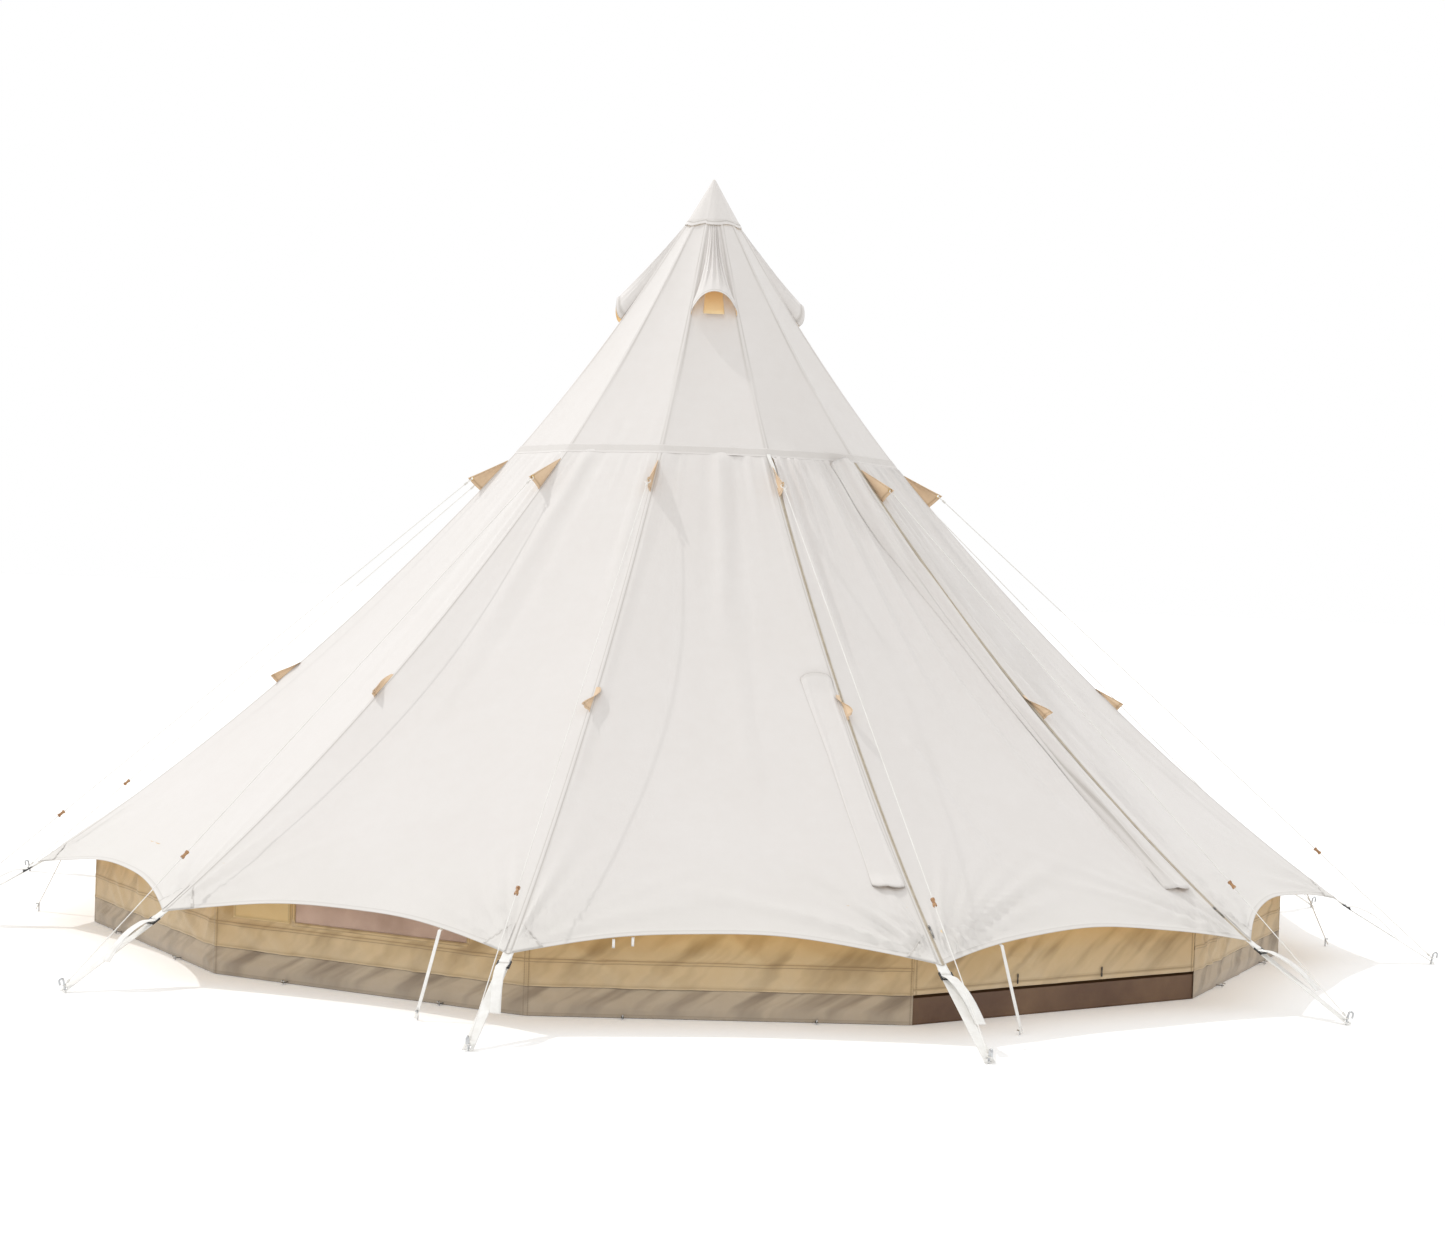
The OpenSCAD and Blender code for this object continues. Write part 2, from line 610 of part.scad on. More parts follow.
module clamp_screw() {
    color("black") translate([0, 0, screw_z]) rotate([0, 90, 0]) {
        translate([0, 0, upper_tube_r + gap]) cylinder(h = collar_r + 4 - upper_tube_r, r = 3, $fn = curve_fn);
        translate([0, 0, collar_r + 1]) cylinder(h = 12, r = 8, $fn = curve_fn);
        translate([-16, -2.5, collar_r + 5]) cube([32, 5, 16]);
    }
}

canopy_cap();
canopy_crown();
canopy_upper();
canopy_lower();
seam_band();
ridge_tapes();
vent_hoods();
vent_meshes();
top_fins();
fin_eyelets();
spare_fins();
storm_flap_left();
zip_tapes();
eave_straps();
eave_pegs();
corner_webs();
corner_buckles();
corner_straps();
corner_pegs();
guy_lines();
wall_panels();
wall_skirt();
wall_loops();
wall_pegs();
window_mesh();
window_pocket();
groundsheet();
groundsheet_tub();
pole_upper_tube();
pole_tip();
pole_lower_tube();
pole_foot();
pole_collar();
clamp_screw();
door_panel();
door_zips();
zip_sliders();
storm_flap_right();
door_strap();
wall_door();
wall_door_toggles();
window_cover();
window_toggles();
for (i = [1:4]) vent_flap(i);
for (i = [1:12]) guy_runner(i);
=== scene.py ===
import math

import bpy
import numpy as np
from mathutils import Matrix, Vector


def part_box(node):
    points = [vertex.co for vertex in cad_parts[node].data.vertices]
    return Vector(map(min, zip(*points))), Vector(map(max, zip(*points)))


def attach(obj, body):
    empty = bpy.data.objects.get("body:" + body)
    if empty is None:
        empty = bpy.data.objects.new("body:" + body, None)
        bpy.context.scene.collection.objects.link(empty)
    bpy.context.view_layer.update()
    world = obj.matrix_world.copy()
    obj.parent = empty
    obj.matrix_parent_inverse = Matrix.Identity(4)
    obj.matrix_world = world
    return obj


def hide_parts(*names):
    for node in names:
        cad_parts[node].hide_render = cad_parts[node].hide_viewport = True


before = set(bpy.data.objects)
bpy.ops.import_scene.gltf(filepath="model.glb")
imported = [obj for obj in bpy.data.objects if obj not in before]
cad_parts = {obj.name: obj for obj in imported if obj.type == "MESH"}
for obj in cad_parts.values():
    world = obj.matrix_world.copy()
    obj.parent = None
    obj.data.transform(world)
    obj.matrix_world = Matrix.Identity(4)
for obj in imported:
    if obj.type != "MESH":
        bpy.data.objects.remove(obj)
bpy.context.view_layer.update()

print("frame loaded")

# A bell tent of twelve sides round one pole. Side 0 faces -Y and side 1 is the door.
# Ridge k lies between sides k and k + 1, so it is "side" k + 0.5 in the functions below.
sideCount = 12
doorSide = 1
windowSide = 11
ventSides = (0, 3, 6, 9)
halfTurn = math.pi / sideCount
flatK = math.cos(halfTurn)
lean = math.tan(halfTurn)

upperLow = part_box("canopy_upper")[0]
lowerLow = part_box("canopy_lower")[0]
wallLow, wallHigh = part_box("wall_panels")
canopy = dict(
    apexH=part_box("canopy_cap")[1].z - 0.007,
    seamR=-upperLow.y / flatK,
    seamH=upperLow.z + 0.0015,
    eaveR=-lowerLow.y / flatK,
    eaveH=lowerLow.z + 0.0025,
    upperSag=0.060,     # how far the steep top and the skirt hollow in
    lowerSag=0.117,
    scallop=0.110,      # how far the eave curves in between its corners
    cloth=0.0014,
    ridgeSeam=0.009,    # half width of the felled seam on a ridge
    hem=0.026,
)
walls = dict(
    face=-wallLow.y,    # outer face of the wall, at a side's middle
    top=wallHigh.z,
    skirt=wallLow.z,
    cloth=0.0012,
)
skirtLength = math.hypot(canopy["eaveR"] - canopy["seamR"], canopy["seamH"] - canopy["eaveH"])


# ---- curves and frames ----
def smooth(value, low, high):
    # 0 below low, 1 above high and 3t^2 - 2t^3 between
    t = np.clip((value - low) / (high - low), 0, 1)
    return t * t * (3 - 2 * t)


def cellMiddles(a):
    # the mean of the four corners of each cell of a grid
    return (a[1:, 1:] + a[:-1, 1:] + a[1:, :-1] + a[:-1, :-1]) / 4


def hump(value, centre, width):
    # a bell of height 1 round centre
    return np.exp(-((value - centre) / width) ** 2)


def roofHeight(r):
    # two hollow curves that meet at the seam, each a straight fall less 4 sag t (1 - t)
    c = canopy
    t = r / c["seamR"]
    s = (r - c["seamR"]) / (c["eaveR"] - c["seamR"])
    upper = c["apexH"] + (c["seamH"] - c["apexH"]) * t - 4 * c["upperSag"] * t * (1 - t)
    lower = c["seamH"] + (c["eaveH"] - c["seamH"]) * s - 4 * c["lowerSag"] * s * (1 - s)
    return np.where(r < c["seamR"], upper, lower)


def roofSlope(r):
    # fall of the same curves for each metre outwards
    return (roofHeight(r - 0.002) - roofHeight(r + 0.002)) / 0.004


def turned(side, x, y, z):
    # x outwards and y across, turned to a side's place round the pole
    a = 2 * halfTurn * side
    x, y, z = np.broadcast_arrays(x, y, z)
    return np.stack([x * math.sin(a) + y * math.cos(a), -x * math.cos(a) + y * math.sin(a), z], -1)


def onCanopy(side, r, y, lift):
    # the point at ridge radius r and y across, stood lift off the cloth along its normal;
    # in the last 20 mm the side's normal turns to the ridge's, so two sides meet exactly
    m = roofSlope(r)
    x = r * flatK
    inner = np.clip((x * lean - np.abs(y)) / 0.02, 0, 1)
    flat = np.sqrt(1 + (m / flatK) ** 2)
    sharp = np.sqrt(1 + m ** 2)
    nx = inner * m / flatK / flat + (1 - inner) * m * flatK / sharp
    ny = (1 - inner) * np.sign(y) * m * math.sin(halfTurn) / sharp
    nz = inner / flat + (1 - inner) / sharp
    size = np.sqrt(nx ** 2 + ny ** 2 + nz ** 2)
    return turned(side, x + nx / size * lift, y + ny / size * lift, roofHeight(r) + nz / size * lift)


def offRidge(r, lift):
    # radius and height of the point that stands lift off a ridge at radius r
    m = roofSlope(np.asarray(r, float))
    k = 1 / np.sqrt(1 + m * m)
    return r + lift * m * k, roofHeight(np.asarray(r, float)) + lift * k


def onWall(side, y, z, lift):
    # the same for the upright wall: its normal turns to the corner's in the last 20 mm
    x = walls["face"]
    inner = np.clip((x * lean - np.abs(y)) / 0.02, 0, 1)
    nx = inner + (1 - inner) * flatK
    ny = (1 - inner) * np.sign(y) * math.sin(halfTurn)
    return turned(side, x + nx * lift, y + ny * lift, z)


# ---- creases ----
creases = dict(
    hollow=0.017,       # how far a side bows in between its ridges
    pull=0.011,        # height of the folds that fan out from a pegged corner
    pullAt={0: 0.028, 1: 0.020, 11: 0.017},
    deepen=2.0,         # how much the long folds are deepened
    gather=0.008,      # height of the gathers under the seam
    gatherOn={1: 0.030, 2: 0.024, 0: 0.011},
)
# Long folds of a side: where they start and end across it (-1 left, 1 right) and down it
# (0 seam, 1 eave), their height and their half width
longFolds = {
    1: [(0.90, 0.80, 0.0, 1.0, 0.010, 0.020), (0.66, 0.74, 0.0, 0.95, 0.008, 0.022),
        (0.30, 0.52, 0.0, 0.8, 0.006, 0.024), (-0.05, 0.10, 0.0, 0.6, 0.005, 0.03),
        (-0.80, -0.62, 0.0, 0.5, 0.006, 0.018), (-0.9, -0.2, 0.55, 1.0, 0.004, 0.03)],
    2: [(-0.92, -0.82, 0.0, 1.0, 0.009, 0.016), (-0.80, -0.60, 0.0, 0.9, 0.008, 0.018),
        (-0.62, -0.30, 0.0, 0.85, 0.007, 0.020), (-0.40, 0.10, 0.0, 0.8, 0.006, 0.022),
        (-0.10, 0.45, 0.0, 0.75, 0.006, 0.020), (0.3, 0.8, 0.0, 0.9, 0.005, 0.018)],
}


def fanFolds(up, out, seed, height):
    # folds that run out from a corner: bells of the angle seen from it, dying with distance
    rng = np.random.default_rng(seed)
    far = np.hypot(up, out)
    angle = np.arctan2(out, up)
    total = 0 * far
    for middle in np.linspace(0.16, 1.25, 7):
        bell = hump(angle, middle + rng.uniform(-0.05, 0.05), rng.uniform(0.035, 0.07))
        reach = rng.uniform(0.28, 0.62)
        total = total + rng.uniform(0.5, 1.0) * bell * np.exp(-(far / reach) ** 2)
    return height * total * smooth(far, 0.03, 0.16) * smooth(out, 0.004, 0.04)


def foldLines(side, v, t, half):
    # straight folds down a side, with a soft dip beside each one
    rng = np.random.default_rng(40 + side)
    rows = longFolds.get(side)
    if rows is None:
        rows = [(a, a + rng.uniform(-0.2, 0.2), 0.0, rng.uniform(0.3, 0.8), rng.uniform(0.0015, 0.0035), 0.03)
                for a in rng.uniform(-0.9, 0.9, 4)]
    total = 0 * v
    for start, end, t0, t1, height, width in rows:
        middle = start + (end - start) * t + 0.02 * np.sin(9 * t + 5 * start)
        across = (v - middle) * half
        shown = smooth(t, t0 - 0.01, t0 + 0.02) * (1 - smooth(t, t1 - 0.25, t1))
        total = total + height * shown * (hump(across, 0, width) - 0.6 * hump(across, 1.7 * width, width))
    return creases["deepen"] * total * smooth((1 - np.abs(v)) * half, 0.002, 0.03)


def lowerRelief(side, t, y, half):
    # how far the skirt's cloth stands off its plain shape
    v = y / half
    edge = half - np.abs(y)
    up = (1 - t) * skirtLength
    bow = -creases["hollow"] * (1 - v ** 2) * np.sin(math.pi * np.clip(t / 0.86, 0, 1)) ** 2
    rng = np.random.default_rng(side)
    height = creases["gatherOn"].get(side, creases["gather"])
    gathers = 0 * v
    for middle in np.linspace(-0.92, 0.92, 15):
        place = middle + rng.uniform(-0.04, 0.04) + 0.05 * t
        gathers = gathers + rng.uniform(-0.5, 1) * hump(v, place,
                                                        0.035) * np.exp(-t / rng.uniform(0.05, 0.22))
    gathers = height * gathers * smooth(t, 0, 0.012) * smooth(edge, 0.002, 0.02)
    fans = 0
    for ridge, out in ((side - 1, y + half), (side, half - y)):
        corner = ridge % sideCount
        pull = creases["pullAt"].get(corner, creases["pull"])
        fans = fans + fanFolds(up, out, 200 + 2 * corner + (ridge == side), pull)
    seam = 0.0013 * (1 - smooth(edge, canopy["ridgeSeam"], canopy["ridgeSeam"] + 0.002))
    hem = 0.0012 * (1 - smooth(up, canopy["hem"], canopy["hem"] + 0.003))
    flutter = 0.004 * (1 - v ** 2) * np.sin(7 * v + side) * smooth(t, 0.9, 1.0)
    return bow + gathers + fans + foldLines(side, v, t, half) + np.maximum(seam, hem) + flutter


def upperRelief(side, u, y, half):
    # the same for the steep top, u from the apex to the seam
    v = y / half
    edge = half - np.abs(y)
    bow = -0.008 * (1 - v ** 2) * np.sin(math.pi * u)
    seam = 0.0013 * (1 - smooth(edge, canopy["ridgeSeam"], canopy["ridgeSeam"] + 0.002))
    rng = np.random.default_rng(90 + side)
    folds = 0 * v
    for middle in rng.uniform(-0.8, 0.8, 5):
        folds = folds + rng.uniform(0.3, 1) * hump(v, middle + 0.2 * (1 - u), 0.10) * smooth(u, 0.6, 1)
    return bow + seam + 0.0025 * folds * smooth(edge, 0.002, 0.03) * (1 - smooth(u, 0.97, 1.0))


def canopyRelief(side, r, y):
    # relief of whichever part of the canopy is at ridge radius r
    c = canopy
    half = r * flatK * lean
    t = np.clip((r - c["seamR"]) / (c["eaveR"] - c["seamR"]), 0, 1)
    u = np.clip(r / c["seamR"], 0, 1)
    return np.where(r < c["seamR"], upperRelief(side, u, y, half), lowerRelief(side, t, y, half))


# ---- mesh building ----
def patch(points, uv=None, keep=None, wrap=False, caps=False, tone=None, finish=0, flip=False):
    # one grid of points, rows by columns, with its map in metres
    points = np.asarray(points, float)
    rows, columns = points.shape[:2]
    if uv is None:
        down = np.zeros((rows, columns))
        down[1:] = np.cumsum(np.linalg.norm(np.diff(points, axis=0), axis=-1), 0)
        along = np.zeros((rows, columns))
        along[:, 1:] = np.cumsum(np.linalg.norm(np.diff(points, axis=1), axis=-1), 1)
        uv = np.stack([along, down], -1)
    if tone is None:
        tone = np.zeros((rows, columns))
    return dict(points=points, uv=uv, keep=keep, wrap=wrap, caps=caps,
                tone=np.broadcast_to(tone, (rows, columns)), finish=finish, flip=flip)


def patchFaces(p, start):
    # quads that run down, across, up: outward where rows go down and columns to the right
    rows, columns = p["points"].shape[:2]
    i, j = np.meshgrid(np.arange(rows - 1), np.arange(columns if p["wrap"] else columns - 1), indexing="ij")
    nextJ = (j + 1) % columns
    quads = np.stack([i * columns + j, (i + 1) * columns + j, (i + 1) * columns + nextJ, i * columns + nextJ],
                     -1)
    if p["keep"] is not None:
        quads = quads[p["keep"]]
    quads = quads.reshape(-1, 4)
    faces = (quads + start).tolist()
    if p["caps"]:
        ring = start + np.arange(columns)
        faces.append(ring.tolist())
        faces.append((ring[::-1] + (rows - 1) * columns).tolist())
    return [face[::-1] for face in faces] if p["flip"] else faces


def piece(name, patches, finishes, body, nodes=(), thick=None, offset=-1.0, inner=0):
    # joins patches into one mesh, closes it to a thickness and hides the CAD parts it stands for
    verts, faces, kinds = [], [], []
    start = 0
    for p in patches:
        made = patchFaces(p, start)
        faces += made
        kinds += [p["finish"]] * len(made)
        verts.append(p["points"].reshape(-1, 3))
        start += verts[-1].shape[0]
    mesh = bpy.data.meshes.new(name)
    mesh.from_pydata(np.concatenate(verts), [], faces)
    loops = np.empty(len(mesh.loops), np.int32)
    mesh.loops.foreach_get("vertex_index", loops)
    layer = mesh.uv_layers.new(name="UVMap")
    layer.uv.foreach_set("vector", np.concatenate([p["uv"].reshape(-1, 2) for p in patches])[loops].ravel())
    tones = mesh.attributes.new("tone", "FLOAT", "POINT")
    tones.data.foreach_set("value", np.concatenate([p["tone"].ravel() for p in patches]).astype(np.float32))
    for finish in finishes:
        mesh.materials.append(finish)
    mesh.polygons.foreach_set("material_index", np.array(kinds, np.int32))
    mesh.shade_smooth()
    mesh.update()
    obj = bpy.data.objects.new(name, mesh)
    bpy.context.scene.collection.objects.link(obj)
    if thick:
        modifier = obj.modifiers.new("Solidify", "SOLIDIFY")
        modifier.thickness = thick
        modifier.offset = offset
        modifier.material_offset = inner
        modifier.material_offset_rim = 0
    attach(obj, body)
    if nodes:
        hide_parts(*nodes)
    return obj


def ribbon(path, across, width, columns=5, **more):
    # a flat band along a path, with a side vector at every point
    path = np.asarray(path, float)
    across = np.broadcast_to(np.asarray(across, float), path.shape)
    across = across / np.linalg.norm(across, axis=-1, keepdims=True)
    share = np.linspace(-0.5, 0.5, columns)
    points = path[:, None] + across[:, None] * share[None, :, None] * width
    return patch(points, **more)


def tube(path, radius, sections=10, side=(0, 0, 1), **more):
    # rings of a radius about a path; the radius may change along it
    path = np.asarray(path, float)
    radius = np.broadcast_to(radius, len(path))
    ahead = np.gradient(path, axis=0)
    ahead /= np.linalg.norm(ahead, axis=-1, keepdims=True)
    u = np.cross(ahead, np.broadcast_to(np.asarray(side, float), path.shape))
    u /= np.linalg.norm(u, axis=-1, keepdims=True)
    w = np.cross(ahead, u)
    a = np.linspace(0, 2 * math.pi, sections, endpoint=False)
    points = path[:, None] + radius[:, None, None] * (u[:, None] * np.cos(a)[None, :, None]
                                                      + w[:, None] * np.sin(a)[None, :, None])
    return patch(points, wrap=True, caps=True, **more)


def ring(centre, normal, radius, thick, turns=28, sections=8):
    # a torus round centre, in the plane across normal
    centre, normal = np.asarray(centre, float), np.asarray(normal, float)
    normal = normal / np.linalg.norm(normal)
    u = np.cross(normal, (0.3, 0.2, 0.93))
    u /= np.linalg.norm(u)
    w = np.cross(normal, u)
    a = np.linspace(0, 2 * math.pi, turns + 1)[:, None, None]
    b = np.linspace(0, 2 * math.pi, sections, endpoint=False)[None, :, None]
    out = u * np.cos(a) + w * np.sin(a)
    points = centre + out * (radius + thick * np.cos(b)) + normal * thick * np.sin(b)
    points[-1] = points[0]
    return patch(points, wrap=True)


def softened(path, count):
    # the same route with more points, by a cubic through the given ones
    path = np.asarray(path, float)
    t = np.linspace(0, len(path) - 1, count)
    i = np.clip(t.astype(int), 0, len(path) - 2)
    s = (t - i)[:, None]
    before, after = path[np.maximum(i - 1, 0)], path[np.minimum(i + 2, len(path) - 1)]
    a, b = path[i], path[i + 1]
    return 0.5 * (2 * a + (b - before) * s + (2 * before - 5 * a + 4 * b - after) * s ** 2
                  + (3 * a - before - 3 * b + after) * s ** 3)


# ---- shader maths ----
class Wire:
    # a socket that can be used in sums
    def __init__(self, shader, socket):
        self.shader = shader
        self.socket = socket

    def sum(self, operation, first, second=0.0):
        return self.shader.add("ShaderNodeMath", {"operation": operation}, {0: first, 1: second}).out()

    def __add__(self, other):
        return self.sum("ADD", self, other)

    def __sub__(self, other):
        return self.sum("SUBTRACT", self, other)

    def __rsub__(self, other):
        return self.sum("SUBTRACT", other, self)

    def __mul__(self, other):
        return self.sum("MULTIPLY", self, other)

    def __pow__(self, other):
        return self.sum("POWER", self, other)

    __radd__ = __add__
    __rmul__ = __mul__

    def sine(self):
        return self.sum("SINE", self)

    def away(self):
        return self.sum("ABSOLUTE", self)

    def ramp(self, low, high):
        # 0 at low and 1 at high, held beyond them
        return self.shader.add("ShaderNodeMapRange", {"clamp": True}, {"Value": self, 1: low, 2: high}).out()


class Step:
    # a node whose outputs are wires
    def __init__(self, shader, node):
        self.shader = shader
        self.node = node

    def out(self, name=0):
        return Wire(self.shader, self.node.outputs[name])


class Finish:
    # a material with one Principled shader
    def __init__(self, name, **constants):
        self.material = bpy.data.materials.new(name)
        self.material.use_nodes = True
        self.tree = self.material.node_tree
        self.tree.nodes.clear()
        self.shader = self.add("ShaderNodeBsdfPrincipled", {}, constants)
        output = self.add("ShaderNodeOutputMaterial", {}, {"Surface": self.shader.out()})
        self.output = output.node

    def add(self, kind, settings, inputs):
        node = self.tree.nodes.new(kind)
        for key, value in settings.items():
            if key == "stops":
                for place, colour in value[2:]:
                    node.color_ramp.elements.new(place)
                for element, (place, colour) in zip(node.color_ramp.elements, sorted(value)):
                    element.position = place
                    element.color = (*colour, 1)
            else:
                setattr(node, key, value)
        for key, value in inputs.items():
            socket = node.inputs[key]
            if isinstance(value, Wire):
                self.tree.links.new(value.socket, socket)
            elif hasattr(value, "__len__") and len(value) == 3 and socket.type == "RGBA":
                socket.default_value = (*value, 1)
            else:
                socket.default_value = value
        return Step(self, node)

    def place(self):
        return self.add("ShaderNodeTexCoord", {}, {}).out("Object")

    def uv(self):
        return self.add("ShaderNodeTexCoord", {}, {}).out("UV")

    def map(self):
        parts = self.add("ShaderNodeSeparateXYZ", {}, {0: self.uv()})
        return parts.out("X"), parts.out("Y")

    def height(self):
        return self.add("ShaderNodeSeparateXYZ", {}, {0: self.place()}).out("Z")

    def noise(self, scale, detail=3.0, rough=0.55, where=None):
        inputs = {"Scale": scale, "Detail": detail, "Roughness": rough, "Vector": where or self.place()}
        return self.add("ShaderNodeTexNoise", {}, inputs).out(0)

    def blend(self, share, first, second):
        # colours 6 and 7 are a Mix node's A and B
        return self.add("ShaderNodeMix", {"data_type": "RGBA"}, {0: share, 6: first, 7: second}).out(2)

    def tone(self):
        return self.add("ShaderNodeAttribute", {"attribute_name": "tone"}, {}).out("Fac")

    def bump(self, height, strength, distance):
        inputs = {"Height": height, "Strength": strength, "Distance": distance}
        return self.add("ShaderNodeBump", {}, inputs).out(0)

    def use(self, **sockets):
        names = dict(colour="Base Color", rough="Roughness", normal="Normal", glow="Emission Color",
                     metal="Metallic")
        for key, value in sockets.items():
            self.tree.links.new(value.socket, self.shader.node.inputs[names[key]])
        return self.material


def clothFinish(name, pale, deep, stitch, pitch, sheen=0.25, dust=None, glow=None, warm=None, creaseShade=None):
    # plain woven cotton: a weave in the map's metres, slubs, blotches, stitching and dust, and where asked
    # painted shade in slanting creases, painted light warming the top and a glow for light through the cloth
    f = Finish(name, **{"Sheen Weight": sheen, "Sheen Roughness": 0.6, "Specular IOR Level": 0.25,
                        "Emission Strength": glow or 0.0})
    u, v = f.map()
    turnsPerMetre = 2 * math.pi / pitch
    weave = (u * turnsPerMetre).sine() * (v * turnsPerMetre).sine()
    slub = f.noise(260, 2.0)
    blotch = f.noise(2.2, 4.0, 0.6).ramp(0.3, 0.75)
    crush = f.noise(17, 5.0, 0.62)
    colour = f.blend(blotch * 0.55 + crush.ramp(0.35, 0.8) * 0.45, pale, deep)
    if creaseShade:
        # slack cloth: long slanting creases with painted shade, darker in their hollows
        slant = {"Vector": f.uv(), "Rotation": (0, 0, math.radians(40)), "Scale": (0.42, 0.075, 1)}
        slanted = f.add("ShaderNodeMapping", {"vector_type": "TEXTURE"}, slant).out(0)
        crease = f.noise(1.0, 2.5, 0.5, slanted).ramp(0.46, 0.66)
        colour = f.blend(crease * 1.0, colour, creaseShade)
    if warm:
        # light that comes through the cloth warms the top of a wall
        low, high, tint = warm
        colour = f.blend(f.height().ramp(low, high), colour, tint)
    if dust:
        low, high, tint = dust
        grime = (f.noise(9, 4.0).ramp(0.25, 0.75) * 0.6 + 0.4) * (1 - f.height().ramp(low, high))
        colour = f.blend(grime, colour, tint)
    needle = (v * (2 * math.pi / 0.006)).sine().ramp(-0.2, 0.5) * 0.35 + 0.65
    tone = f.tone()
    colour = f.blend(tone * needle, colour, stitch)
    rough = 0.86 + slub * 0.1 - tone * 0.05
    height = weave * 0.25 + slub * 0.5 + crush * 1.6 - tone * needle * 1.5
    settings = dict(colour=colour, rough=rough, normal=f.bump(height, 0.35, 0.0012))
    # painted light: the cloth also glows with its own colour, standing in for light that comes through it
    if glow:
        settings["glow"] = colour
    return f.use(**settings)


def webFinish(name, pale, deep, rib=0.0016):
    # woven tape: cross ribs along its length, a selvedge along each edge
    f = Finish(name, **{"Sheen Weight": 0.2, "Sheen Roughness": 0.5, "Specular IOR Level": 0.35})
    u, v = f.map()
    ribs = (v * (2 * math.pi / rib)).sine()
    lines = (u * (2 * math.pi / 0.004)).sine()
    worn = f.noise(30, 4.0).ramp(0.3, 0.8)
    colour = f.blend(worn * 0.6 + f.tone() * 0.4, pale, deep)
    height = ribs * 0.6 + lines * 0.4 + f.noise(300, 2.0)
    return f.use(colour=colour, rough=0.7 + worn * 0.15, normal=f.bump(height, 0.5, 0.0006))


def hardFinish(name, pale, deep, rough, metal=0.0, grain=60.0, bump=0.15, coat=0.0, stretch=(1, 1, 1)):
    # metal or moulded plastic: fine grain, handling marks and paler worn patches
    f = Finish(name, **{"Metallic": metal, "Coat Weight": coat, "Coat Roughness": 0.25})
    where = f.add("ShaderNodeMapping", {}, {"Vector": f.place(), "Scale": stretch}).out(0)
    marks = f.noise(grain, 5.0, 0.6, where)
    smears = f.noise(grain / 9, 3.0, 0.5, where)
    colour = f.blend(marks.ramp(0.35, 0.7) * 0.6 + smears.ramp(0.4, 0.7) * 0.4, pale, deep)
    spread = rough + (marks - 0.5) * 0.22 + (smears - 0.5) * 0.15
    return f.use(colour=colour, rough=spread,
                 normal=f.bump(marks + f.noise(grain * 14, 2.0) * 0.3, bump, 0.0008))


def woodFinish(name, pale, deep):
    # turned beech: growth rings stretched along the piece, with short pores
    f = Finish(name, **{"Coat Weight": 0.15, "Coat Roughness": 0.3})
    where = f.add("ShaderNodeMapping", {}, {"Vector": f.place(), "Scale": (90, 90, 25)}).out(0)
    rings = (f.noise(1.0, 3.0, 0.5, where) * 22).sine().ramp(-1, 1)
    pores = f.noise(700, 2.0)
    colour = f.blend(rings * 0.7 + pores.ramp(0.5, 0.8) * 0.3, pale, deep)
    return f.use(colour=colour, rough=0.45 + pores * 0.2, normal=f.bump(rings * 0.5 + pores, 0.25, 0.0004))


def cordFinish(name, pale, deep):
    # braided cord: small diagonal plaits, seen as cells
    f = Finish(name, **{"Sheen Weight": 0.15, "Specular IOR Level": 0.4})
    cells = f.add("ShaderNodeTexVoronoi", {}, {"Vector": f.place(), "Scale": 620.0}).out("Distance")
    grime = f.noise(14, 4.0).ramp(0.35, 0.8)
    colour = f.blend(grime * 0.5 + cells.ramp(0.3, 0.8) * 0.5, pale, deep)
    return f.use(colour=colour, rough=0.6 + cells * 0.3, normal=f.bump(1 - cells, 0.6, 0.0006))


def meshFinish(name, thread, shade):
    # insect mesh: a fine square net, seen as a tint
    f = Finish(name, **{"Specular IOR Level": 0.3})
    u, v = f.map()
    turnsPerMetre = 2 * math.pi / 0.0016
    threads = ((u * turnsPerMetre).sine() ** 4 + (v * turnsPerMetre).sine() ** 4).ramp(0.2, 1.0)
    colour = f.blend(threads * 0.5 + f.noise(6, 3.0).ramp(0.3, 0.7) * 0.5, shade, thread)
    return f.use(colour=colour, rough=0.7 + threads * 0.1, normal=f.bump(threads, 0.5, 0.0004))


def floorSheetFinish(name, pale, deep):
    # coated groundsheet: square ripstop threads, crease lines and dust
    f = Finish(name, **{"Specular IOR Level": 0.4})
    u, v = f.map()
    net = (u * (2 * math.pi / 0.006)).sine().away().ramp(0.0,
                                                         0.12) * (v * (2 * math.pi
                                                                       / 0.006)).sine().away().ramp(0.0, 0.12)
    dust = f.noise(3.0, 5.0, 0.6).ramp(0.35, 0.75)
    colour = f.blend(dust * 0.7 + (1 - net) * 0.3, deep, pale)
    height = net * 0.4 + f.noise(24, 4.0) * 1.5
    return f.use(colour=colour, rough=0.55 + dust * 0.25, normal=f.bump(height, 0.4, 0.001))


